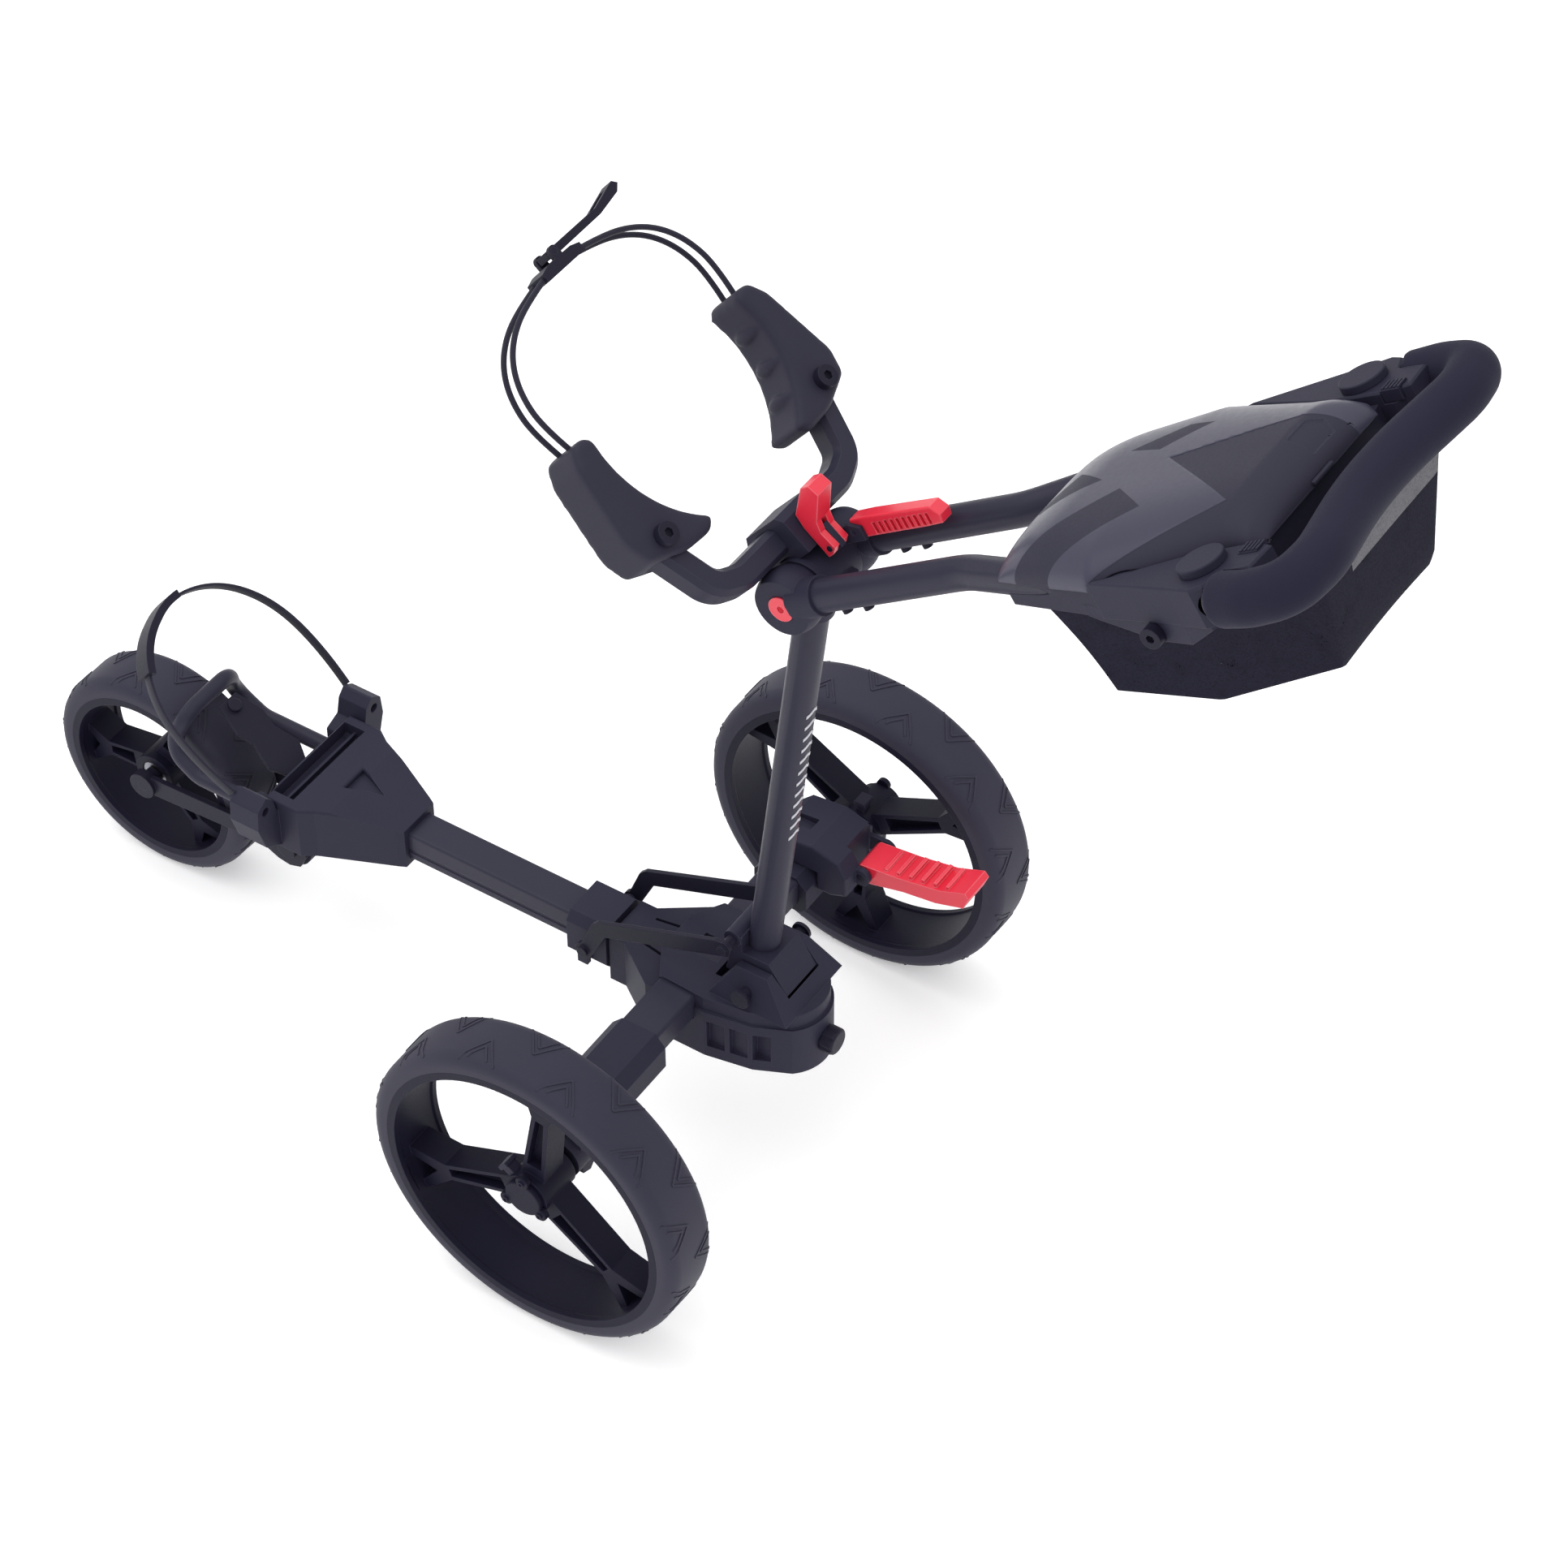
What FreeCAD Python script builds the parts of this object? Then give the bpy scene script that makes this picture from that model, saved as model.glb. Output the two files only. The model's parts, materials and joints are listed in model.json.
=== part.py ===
import FreeCAD, Part
import math
import os
from types import SimpleNamespace

import Sketcher
from FreeCAD import Placement, Rotation, Vector

# A three-wheeled golf push cart that folds, built in millimetres: +Z up, +Y towards the handle, +X to
# the left of a person who pushes it. The pieces are laid out from the rear axle line (y = 0 on the
# rear axle, z = 0 on the ground), and every sub-part's Placement then moves it by axle_shift, so
# that the finished cart is centred over its origin.

doc = FreeCAD.newDocument("push_cart")

DIMENSIONS = [
    ("axle_shift", 57.05, "rear axle ahead of the origin, which centres the cart"),
    ("rear_radius", 148.5, "rear tyre"),
    ("rear_rim_radius", 132.0, "rear rim under the tyre"),
    ("front_radius", 104.0, "front tyre"),
    ("front_rim_radius", 87.5, "front rim under the tyre"),
    ("wheel_width", 57.0, "tyre width, all wheels"),
    ("rim_wall", 6.0, "thickness of the rim's barrel"),
    ("wheel_centre", 244.0, "rear wheel's middle from the centre line"),
    ("hub_radius", 20.0, "wheel hub"),
    ("bearing_radius", 13.0, "bearing's outer ring"),
    ("axle_radius", 5.0, "wheel axles"),
    ("running_gap", 0.05, "radial clearance of every pin that turns"),
    ("front_axle_y", -581.0, "front axle from the rear axle"),
    ("fork_pivot_y", -420.0, "front fork's pivot from the rear axle"),
    ("fork_pivot_z", 112.0, "height of the front fork's pivot"),
    ("fork_inside", 31.0, "fork arm's inner face from the centre line"),
    ("fork_plate", 5.0, "thickness of a fork arm"),
    ("tube_width", 32.0, "front tube across"),
    ("tube_height", 30.0, "front tube"),
    ("tube_top", 180.0, "height of the front tube's top"),
    ("beam_width", 36.0, "rear axle beam, front to back"),
    ("beam_height", 26.0, "rear axle beam"),
    ("beam_top", 198.0, "height of the axle beam's top"),
    ("fold_axis_x", 186.0, "rear wheel's fold axis from the centre line"),
    ("fold_axis_z", 176.0, "height of the rear wheels' fold axes"),
    ("mast_pivot_y", 60.0, "mast's fold axis from the rear axle"),
    ("mast_pivot_z", 215.0, "height of the mast's fold axis"),
    ("mast_foot_y", 54.0, "mast's centre line at the foot's top"),
    ("mast_foot_z", 242.0, "height of the mast foot's top"),
    ("mast_length", 433.0, "foot's top to the handle pivot"),
    ("mast_lean", 6.8, "mast's lean to the rear, degrees"),
    ("mast_radius", 13.5, "mast tube"),
    ("mast_wall", 2.0, "wall of the mast tube"),
    ("handle_pitch", 34.5, "handle's rise to the rear, degrees"),
    ("handle_tube_radius", 13.0, "handle tubes"),
    ("handle_inside", 40.0, "handle tube's centre line at the hub"),
    ("handle_outside", 132.0, "handle tube's centre line at the grip"),
    ("handle_bend", 185.0, "hub to the tubes' bend"),
    ("grip_start", 481.0, "hub to the grip's start"),
    ("grip_corner", 545.0, "hub to the grip's corners"),
    ("grip_radius", 19.0, "foam grip"),
    ("cradle_pitch", 38.5, "upper bag cradle's rise to the front, degrees"),
    ("cradle_y", -23.0, "middle of the upper bag cradle"),
    ("cradle_z", 776.0, "height of the upper bag cradle's middle"),
    ("bag_radius", 96.0, "bag that the upper cradle holds"),
    ("cord_radius", 2.3, "elastic cords of the upper cradle"),
]

sheet = doc.addObject("Spreadsheet::Sheet", "Dimensions")
for row, (alias, value, note) in enumerate(DIMENSIONS, start=1):
    sheet.set(f"A{row}", alias)
    sheet.set(f"B{row}", str(value))
    sheet.setAlias(f"B{row}", alias)
    sheet.set(f"C{row}", note)
doc.recompute()


class Dim:
    """A number that also knows the sheet formula it comes from, so a property can be bound to it."""

    def __init__(self, value, text):
        self.value = float(value)
        self.text = text

    def __float__(self):
        return self.value

    def __add__(self, other):
        other = dim(other)
        return Dim(self.value + other.value, f"({self.text} + {other.text})")

    def __sub__(self, other):
        other = dim(other)
        return Dim(self.value - other.value, f"({self.text} - {other.text})")

    def __mul__(self, other):
        other = dim(other)
        return Dim(self.value * other.value, f"({self.text} * {other.text})")

    def __truediv__(self, other):
        other = dim(other)
        return Dim(self.value / other.value, f"({self.text} / {other.text})")

    def __rsub__(self, other):
        return dim(other) - self

    def __neg__(self):
        return dim(0.0) - self

    __radd__ = __add__
    __rmul__ = __mul__


def dim(number):
    """Any number as a Dim."""
    if isinstance(number, Dim):
        return number
    return Dim(number, f"({float(number)!r})")


size = SimpleNamespace(**{alias: Dim(value, f"Dimensions.{alias}") for alias, value, _ in DIMENSIONS})
parts = {}

# --- helpers: primitives, outlines, booleans ---------------------------------------------------

TURN_TO_AXIS = {
    "x": Rotation(Vector(0, 1, 0), 90),
    "y": Rotation(Vector(1, 0, 0), -90),
    "z": Rotation(),
}


def bind(piece, name, number):
    """Bind one property to the sheet formula of a Dim, or set it when it is a plain number."""
    if isinstance(number, Dim):
        piece.setExpression(name, number.text)
    else:
        piece.setExpression(name, repr(float(number)))


def put(piece, place, turn=None):
    """Bind a piece's position, and turn it."""
    piece.Placement = Placement(Vector(*[float(part) for part in place]), turn or Rotation())
    for letter, number in zip("xyz", place):
        if isinstance(number, Dim):
            bind(piece, f"Placement.Base.{letter}", number)


def box(corner, sides):
    """A block from its lowest corner and its three sides."""
    piece = doc.addObject("Part::Box", "Block")
    for name, number in zip(("Length", "Width", "Height"), sides):
        bind(piece, name, number)
    put(piece, corner)
    return piece


def wide_box(half_x, low_yz, sides_yz):
    """A block that lies evenly about the centre plane."""
    return box((-dim(half_x), low_yz[0], low_yz[1]), (dim(half_x) * 2, sides_yz[0], sides_yz[1]))


def rod(start, axis, radius, length):
    """A cylinder from the middle of its first end, along +x, +y or +z."""
    piece = doc.addObject("Part::Cylinder", "Rod")
    bind(piece, "Radius", radius)
    bind(piece, "Height", length)
    put(piece, start, TURN_TO_AXIS[axis])
    return piece


def cone(start, axis, radius, end_radius, length):
    """A cone with its first end at start, along +x, +y or +z."""
    piece = doc.addObject("Part::Cone", "Taper")
    bind(piece, "Radius1", radius)
    bind(piece, "Radius2", end_radius)
    bind(piece, "Height", length)
    put(piece, start, TURN_TO_AXIS[axis])
    return piece


def ball(centre, radius):
    """A sphere."""
    piece = doc.addObject("Part::Sphere", "Ball")
    bind(piece, "Radius", radius)
    put(piece, centre)
    return piece


def hexagon(start, axis, across, length):
    """A six-sided bar, by its size across the flats."""
    piece = doc.addObject("Part::Prism", "Hexagon")
    piece.Polygon = 6
    bind(piece, "Circumradius", dim(across) * (1.0 / math.sqrt(3.0)))
    bind(piece, "Height", length)
    put(piece, start, TURN_TO_AXIS[axis])
    return piece


def origin_plane(body, role):
    """One of a body's own origin planes."""
    for feature in body.Origin.OriginFeatures:
        if feature.Role == role:
            return feature
    raise ValueError(role)


def closed_outline(sketch, corners):
    """Draw a closed outline in a sketch. A corner is (u, v), or (u, v, "arc") when it is only the
    point half way along an arc between its neighbours. Every end is held by two bound distances."""
    ends = [corner for corner in corners if len(corner) == 2]
    count = len(corners)
    starts = [index for index, corner in enumerate(corners) if len(corner) == 2]
    pieces = []
    for index in starts:
        following = corners[(index + 1) % count]
        here = corners[index]
        first = Vector(float(here[0]), float(here[1]), 0)
        if len(following) == 3:
            last_corner = corners[(index + 2) % count]
            middle = Vector(float(following[0]), float(following[1]), 0)
            last = Vector(float(last_corner[0]), float(last_corner[1]), 0)
            pieces.append((Part.Arc(first, middle, last), first))
        else:
            last = Vector(float(following[0]), float(following[1]), 0)
            pieces.append((Part.LineSegment(first, last), first))
    lines = []
    for piece, first in pieces:
        number = sketch.addGeometry(piece, False)
        point = 1
        if isinstance(piece, Part.Arc):
            start_point = sketch.getPoint(number, 1)
            point = 1 if start_point.distanceToPoint(first) < 1e-6 else 2
        lines.append((number, point))
    for place, (number, point) in enumerate(lines):
        next_number, next_point = lines[(place + 1) % len(lines)]
        far = 2 if point == 1 else 1
        sketch.addConstraint(Sketcher.Constraint("Coincident", number, far, next_number, next_point))
    for (number, point), corner in zip(lines, ends):
        for kind, value in (("DistanceX", corner[0]), ("DistanceY", corner[1])):
            index = sketch.addConstraint(Sketcher.Constraint(kind, number, point, float(value)))
            if isinstance(value, Dim):
                sketch.setExpression(f"Constraints[{index}]", value.text)


def plate(plane, corners, low, thickness):
    """A body: one outline on a plane, padded from low to low + thickness along the plane's normal.
    On YZ the outline is (y, z) and the pad runs along +x; on XY it is (x, y) and runs along +z; on
    XZ it is (x, z) and runs along -y."""
    body = doc.addObject("PartDesign::Body", "Plate")
    sketch = body.newObject("Sketcher::SketchObject", "Outline")
    sketch.AttachmentSupport = [(origin_plane(body, f"{plane}_Plane"), "")]
    sketch.MapMode = "FlatFace"
    sketch.AttachmentOffset = Placement(Vector(0, 0, float(low)), Rotation())
    bind(sketch, "AttachmentOffset.Base.z", low)
    closed_outline(sketch, corners)
    pad = body.newObject("PartDesign::Pad", "Thickness")
    pad.Profile = sketch
    bind(pad, "Length", thickness)
    doc.recompute()
    return body


def turned_body(profiles):
    """A body of revolution about x: each outline is (x, radius)."""
    body = doc.addObject("PartDesign::Body", "Turning")
    sketch = body.newObject("Sketcher::SketchObject", "Section")
    sketch.AttachmentSupport = [(origin_plane(body, "XY_Plane"), "")]
    sketch.MapMode = "FlatFace"
    for corners in profiles:
        closed_outline(sketch, corners)
    turning = body.newObject("PartDesign::Revolution", "Turn")
    turning.Profile = sketch
    turning.ReferenceAxis = (sketch, ["H_Axis"])
    turning.Angle = 360.0
    doc.recompute()
    return body


def fuse(*pieces):
    """Join pieces into one solid."""
    joined = doc.addObject("Part::MultiFuse", "Joined")
    joined.Shapes = list(pieces)
    joined.Refine = True
    doc.recompute()
    return joined


def cut(base, *tools):
    """Take tools away from a base."""
    tool = tools[0] if len(tools) == 1 else fuse(*tools)
    result = doc.addObject("Part::Cut", "Trimmed")
    result.Base = base
    result.Tool = tool
    result.Refine = True
    doc.recompute()
    return result


def common(first, second):
    """What two pieces share."""
    shared = doc.addObject("Part::Common", "Shared")
    shared.Base = first
    shared.Tool = second
    doc.recompute()
    return shared


def group(*pieces):
    """Separate solids kept together."""
    together = doc.addObject("Part::Compound", "Together")
    together.Links = list(pieces)
    doc.recompute()
    return together


def mirrored(source):
    """The same piece on the other side of the centre plane."""
    image = doc.addObject("Part::Mirroring", "Mirrored")
    image.Source = source
    image.Normal = (1, 0, 0)
    image.Base = (0, 0, 0)
    doc.recompute()
    return image


def soften(piece, radius, wanted, kind="Part::Fillet"):
    """Round or bevel the edges that wanted(edge) picks."""
    doc.recompute()
    rounded = doc.addObject(kind, "Softened")
    rounded.Base = piece
    picked = [number for number, edge in enumerate(piece.Shape.Edges, start=1) if wanted(edge)]
    rounded.Edges = [(number, float(radius), float(radius)) for number in picked]
    doc.recompute()
    return rounded


def along(letter):
    """Picks straight edges that run along one axis."""
    index = "xyz".index(letter)

    def wanted(edge):
        if not isinstance(edge.Curve, Part.Line):
            return False
        return abs(edge.tangentAt(edge.FirstParameter)[index]) > 0.999

    return wanted


def rim_at(letter, value):
    """Picks edges that lie wholly at one coordinate."""
    low = letter.upper() + "Min"
    high = letter.upper() + "Max"

    def wanted(edge):
        bounds = edge.BoundBox
        near = abs(getattr(bounds, low) - float(value)) < 0.01
        return near and abs(getattr(bounds, high) - float(value)) < 0.01

    return wanted


def route(points, radii):
    """A wire of straight runs joined by tangent arcs, one radius for each inner point."""
    points = [Vector(*point) for point in points]
    edges = []
    start = points[0]
    for before, corner, after, radius in zip(points, points[1:], points[2:], radii):
        back = (before - corner).normalize()
        ahead = (after - corner).normalize()
        half_turn = (math.pi - back.getAngle(ahead)) / 2
        setback = radius * math.tan(half_turn)
        first = corner + back * setback
        last = corner + ahead * setback
        inward = (back + ahead).normalize()
        middle = corner + inward * (radius / math.cos(half_turn) - radius)
        edges.append(Part.LineSegment(start, first).toShape())
        edges.append(Part.Arc(first, middle, last).toShape())
        start = last
    edges.append(Part.LineSegment(start, points[-1]).toShape())
    return Part.Wire(edges)


def widest_radii(points):
    """The arc radius at each inner point: 0.45 of the shorter run over the tangent of half the turn."""
    points = [Vector(*point) for point in points]
    radii = []
    for before, corner, after in zip(points, points[1:], points[2:]):
        shorter = min((corner - before).Length, (after - corner).Length)
        turn = math.pi - (before - corner).getAngle(after - corner)
        radii.append(0.45 * shorter / math.tan(turn / 2))
    return radii


def swept(section, spine):
    """A solid of one closed section carried along a route."""
    piece = doc.addObject("Part::Feature", "Swept")
    piece.Shape = spine.makePipeShell([section], True, False)
    return piece


def tube_along(points, radii, radius, inner=None):
    """A round tube, or a rod when it has no inner radius, along a route."""
    spine = route(points, radii)
    direction = (Vector(*points[1]) - Vector(*points[0])).normalize()
    outer = Part.Wire(Part.makeCircle(float(radius), Vector(*points[0]), direction))
    piece = swept(outer, spine)
    if inner is not None:
        bore = Part.Wire(Part.makeCircle(float(inner), Vector(*points[0]), direction))
        piece.Shape = piece.Shape.cut(spine.makePipeShell([bore], True, False))
    return piece


# --- the frames that sub-parts are built in -----------------------------------------------------

LEAN = math.radians(size.mast_lean.value)
HUB_Y = size.mast_foot_y.value + size.mast_length.value * math.sin(LEAN)
HUB_Z = size.mast_foot_z.value + size.mast_length.value * math.cos(LEAN)
SHIFT = size.axle_shift.value
ABOUT_X = Vector(1, 0, 0)

FRAMES = {
    "cart": Placement(Vector(0, SHIFT, 0), Rotation()),
    "mast": Placement(
        Vector(0, size.mast_foot_y.value + SHIFT, size.mast_foot_z.value),
        Rotation(ABOUT_X, -size.mast_lean.value),
    ),
    "handle": Placement(Vector(0, HUB_Y + SHIFT, HUB_Z), Rotation(ABOUT_X, size.handle_pitch.value)),
    "cradle": Placement(
        Vector(0, size.cradle_y.value + SHIFT, size.cradle_z.value),
        Rotation(ABOUT_X, -size.cradle_pitch.value),
    ),
}


def finish(label, piece, frame="cart"):
    """Name a finished sub-part and stand it in its place on the cart."""
    if piece.TypeId in ("Part::Box", "Part::Cylinder", "Part::Mirroring"):
        piece = group(piece)
    piece.Label = label
    piece.Placement = FRAMES[frame].multiply(piece.Placement)
    parts[label] = piece
    return piece


def pair(name, left, frame="cart"):
    """Finish a left-hand piece and its mirror image as two sub-parts."""
    right = mirrored(left)
    finish(f"{name}_right", right, frame)
    finish(f"{name}_left", group(left), frame)


def both(name, left, frame="cart"):
    """Finish a left-hand piece and its mirror image as the two solids of one sub-part."""
    finish(name, group(left, mirrored(left)), frame)


# --- wheels -------------------------------------------------------------------------------------


def spoke(radius, half_width, turn):
    """One spoke: an I-shaped bar that widens into a fork where it meets the rim."""
    reach = radius - 3
    neck = reach * 0.72
    outline = [
        (-11, 12), (11, 12), (half_width, neck), (half_width + 15, reach),
        (half_width + 6, reach), (0, neck + 12), (-half_width - 6, reach),
        (-half_width - 15, reach), (-half_width, neck),
    ]
    bar = plate("YZ", outline, -13.0, 26.0)
    groove = [(-7, 30), (7, 30), (half_width - 4, neck - 2), (4 - half_width, neck - 2)]
    near = plate("YZ", groove, 4.0, 12.0)
    far = plate("YZ", groove, -16.0, 12.0)
    arm = cut(bar, near, far)
    turned = group(arm)
    turned.Placement = Placement(Vector(0, 0, 0), Rotation(ABOUT_X, turn))
    return turned


def wheel(name, radius, rim_radius, centre, spoke_turn, hub_reach, tab_turn=None):
    """Tyre, rim and two bearings of one wheel. hub_reach is how far the hub runs each way from the
    wheel's middle, and centre is the wheel's middle. tab_turn is where the hub has room for a tab."""
    half = size.wheel_width / 2
    tyre = turned_body([[
        (-half, rim_radius), (-half, radius - 9), (0, radius, "arc"), (half, radius - 9), (half, rim_radius),
    ]])
    barrel_inner = rim_radius - size.rim_wall
    barrel = turned_body([[
        (-half, rim_radius), (half, rim_radius), (half, barrel_inner - 1.5), (half - 5, barrel_inner - 1.5),
        (half - 7, barrel_inner), (7 - half, barrel_inner), (5 - half, barrel_inner - 1.5),
        (-half, barrel_inner - 1.5),
    ]])
    low, high = hub_reach
    hub = rod((low, 0, 0), "x", size.hub_radius, high - low)
    turns = [spoke_turn, spoke_turn + 120, spoke_turn + 240]
    spokes = [spoke(barrel_inner.value + 3.5, 8.0, turn - 90) for turn in turns]
    seat = rod((low - 1, 0, 0), "x", size.bearing_radius, high - low + 2)
    rooms = [seat]
    if tab_turn is not None:
        room = group(box((low + 26.6, 15.0, -4.3), (10.8, 10.0, 8.6)))
        room.Placement = Placement(Vector(0, 0, 0), Rotation(ABOUT_X, tab_turn))
        rooms.append(room)
    rim = cut(fuse(barrel, hub, *spokes), *rooms)
    bore = rod((low - 2, 0, 0), "x", size.axle_radius + size.running_gap, high - low + 4)
    rings = [rod((start, 0, 0), "x", size.bearing_radius, 7.0) for start in (low + 1, high - 8)]
    bearings = cut(group(*rings), bore)
    place = Placement(Vector(*[float(part) for part in centre]), Rotation())
    for label, piece in (("tyre", tyre), ("rim", rim), ("bearings", bearings)):
        piece.Placement = place
        finish(f"{name}_{label}", piece)


def hub_cap(side):
    """The three-lobed cap over a rear wheel's hub, with its three screws and a slotted seat."""
    lobes = [rod((0, 0, 0), "x", 17.0, 5.0)]
    screws = []
    for turn in (90, 210, 330):
        angle = math.radians(turn)
        place = (0, 19.0 * math.cos(angle), 19.0 * math.sin(angle))
        lobes.append(rod(place, "x", 6.0, 5.0))
        screws.append((5.0, place[1], place[2]))
    cap = soften(fuse(*lobes), 1.2, rim_at("x", 5.0))
    heads = [cut(rod(place, "x", 3.0, 1.6), hexagon((place[0] + 0.6, place[1], place[2]), "x", 2.6, 2.0))
             for place in screws]
    turn = Rotation() if side > 0 else Rotation(Vector(0, 0, 1), 180)
    place = Placement(Vector(side * (size.wheel_centre.value + 20.5), 0, size.rear_radius.value), turn)
    name = "left" if side > 0 else "right"
    piece = group(cap, *heads)
    piece.Placement = place
    finish(f"{name}_hub_cap", piece)


def release_tab(side, turn):
    """The quick-release button that stands out of a rear hub between two spokes."""
    stem = wide_box(5.0, (18.5, -4.0), (8.8, 8.0))
    head = soften(wide_box(6.5, (27.3, -5.5), (4.0, 11.0)), 1.0, along("x"))
    tab = fuse(stem, head)
    turned = group(tab)
    turned.Placement = Placement(
        Vector(side * size.wheel_centre.value + 12.0, 0, size.rear_radius.value),
        Rotation(ABOUT_X, turn),
    )
    finish("left_release_tab" if side > 0 else "right_release_tab", turned)


def wheels():
    """The two rear wheels, the caps and tabs on their hubs, and the front wheel."""
    for name, side, spoke_turn in (("left", 1, 82.0), ("right", -1, 28.0)):
        reach = (-20.0, 20.0)
        centre = (side * size.wheel_centre.value, 0, size.rear_radius.value)
        tab_turn = spoke_turn + 60
        wheel(name, size.rear_radius, size.rear_rim_radius, centre, spoke_turn, reach, tab_turn)
        hub_cap(side)
        release_tab(side, tab_turn)
    centre = (0, size.front_axle_y.value, size.front_radius.value)
    wheel("front", size.front_radius, size.front_rim_radius, centre, 66.0, (-22.0, 22.0))


# --- chassis ------------------------------------------------------------------------------------


def chassis_body():
    """The moulded body that joins the front tube, the axle beam and the mast's foot."""
    neck = [
        (24, -86), (24, -70), (52, -30), (52, 28), (44, 70), (30, 100), (0, 114, "arc"),
        (-30, 100), (-44, 70), (-52, 28), (-52, -30), (-24, -70), (-24, -86),
    ]
    lower = plate("XY", neck, 134.0, 52.0)
    deck = [
        (22, -34), (48, -18), (50, 26), (43, 68), (29, 98), (0, 111, "arc"),
        (-29, 98), (-43, 68), (-50, 26), (-48, -18), (-22, -34),
    ]
    upper = plate("XY", deck, 186.0, 15.0)
    cheek_side = [(26, 201), (46, 233), (76, 233), (102, 201)]
    cheek_front = [(-42, 201), (-30, 233), (30, 233), (42, 201)]
    cheeks = common(plate("YZ", cheek_side, -44.0, 88.0), plate("XZ", cheek_front, -106.0, 90.0))
    solid = fuse(lower, upper, cheeks)
    well = wide_box(22.3, (20, 185), (72, 60))
    tube_seat = wide_box(size.tube_width / 2, (-90, size.tube_top - size.tube_height), (60, size.tube_height))
    beam_seat = wide_box(60.0, (-size.beam_width / 2, size.beam_top - size.beam_height),
                         (size.beam_width, size.beam_height))
    pin_seat = rod((-50, size.mast_pivot_y, size.mast_pivot_z), "x", 5.0, 100)
    knob_seat = rod((0, 96, 160), "y", 5.0, 30)
    pockets = []
    for side in (-1, 1):
        for start, end, floor in ((30, 46, 46.5), (50, 66, 43.5), (70, 84, 36.0)):
            low = floor if side > 0 else -floor - 10
            pockets.append(box((low, start, 146), (10, end - start, 30)))
    for side in (-1, 1):
        slot = plate("XY", [(side * 12, -64), (side * 15, -64), (side * 21, -26), (side * 18, -26)], 182.0, 8.0)
        pockets.append(slot)
    hatch = wide_box(12.0, (-12, 196), (26, 10))
    body = cut(solid, well, tube_seat, beam_seat, pin_seat, knob_seat, hatch, *pockets)
    finish("chassis_body", body)


def tail_knob():
    """The round knob on the body's tail."""
    stem = rod((0, 100, 160), "y", 5.0, 14)
    grip = soften(rod((0, 114, 160), "y", 12.0, 12), 3.0, rim_at("y", 126))
    dents = []
    for turn in range(0, 360, 45):
        angle = math.radians(turn)
        dents.append(rod((14 * math.cos(angle), 113, 160 + 14 * math.sin(angle)), "y", 3.2, 14))
    finish("tail_knob", fuse(stem, cut(grip, *dents)))


def front_tube():
    """The rectangular front tube, hollow, with a groove along each side."""
    low = size.tube_top - size.tube_height
    outside = wide_box(size.tube_width / 2, (-396, low), (356, size.tube_height))
    shell = soften(outside, 3.0, along("y"))
    hollow = wide_box(size.tube_width / 2 - 2.5, (-400, low + 2.5), (380, size.tube_height - 5))
    grooves = []
    for start in (-17.0, 15.0):
        grooves.append(box((start, -400, low + 8), (2.0, 380, 5)))
    finish("front_tube", cut(shell, hollow, *grooves))


def axle_beam():
    """The rectangular beam that carries both rear wheels."""
    low = size.beam_top - size.beam_height
    outside = wide_box(118.0, (-size.beam_width / 2, low), (size.beam_width, size.beam_height))
    shell = soften(outside, 3.0, along("x"))
    hollow = wide_box(130.0, (3 - size.beam_width / 2, low + 3), (size.beam_width - 6, size.beam_height - 6))
    finish("axle_beam", cut(shell, hollow))


def wheel_carriers():
    """The faceted sleeves on the beam's ends, the carriers hinged to them and the hinge pins."""
    section = [(-26, 168), (-20, 162), (20, 162), (26, 168), (26, 190), (16, 201), (-16, 201), (-26, 190)]
    block = plate("YZ", section, 104.0, 62.0)
    ears = []
    for low in (-26.0, 16.2):
        lug = rod((size.fold_axis_x, low, size.fold_axis_z), "y", 13.0, 9.8)
        web = box((165, low, 163), (21, 9.8, 26))
        ears.append(fuse(lug, web))
    seat = box((100, -size.beam_width / 2, size.beam_top - size.beam_height),
               (18, size.beam_width, size.beam_height))
    pin_seat = rod((size.fold_axis_x, -30, size.fold_axis_z), "y", 5.0, 60)
    sleeve = cut(fuse(block, *ears), seat, pin_seat)
    both("axle_sleeves", sleeve)

    knuckle = rod((size.fold_axis_x, -15.8, size.fold_axis_z), "y", 12.5, 31.6)
    side = [(186, 188.5), (200, 186), (209, 172), (211, 148.5), (208, 130), (198, 126), (191, 134), (187, 163.5)]
    arm = plate("XZ", side, -15.8, 31.6)
    boss = rod((196, 0, size.rear_radius), "x", 19.0, 22)
    pin_bore = rod((size.fold_axis_x, -30, size.fold_axis_z), "y", 5.0, 60)
    axle_seat = rod((198, 0, size.rear_radius), "x", size.axle_radius, 30)
    carrier = cut(fuse(knuckle, arm, boss), pin_bore, axle_seat)
    shaft = rod((198, 0, size.rear_radius), "x", size.axle_radius, 64)
    flange = rod((218.2, 0, size.rear_radius), "x", 9.0, 5)
    pair("wheel_carrier", group(carrier, fuse(shaft, flange)))


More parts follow.
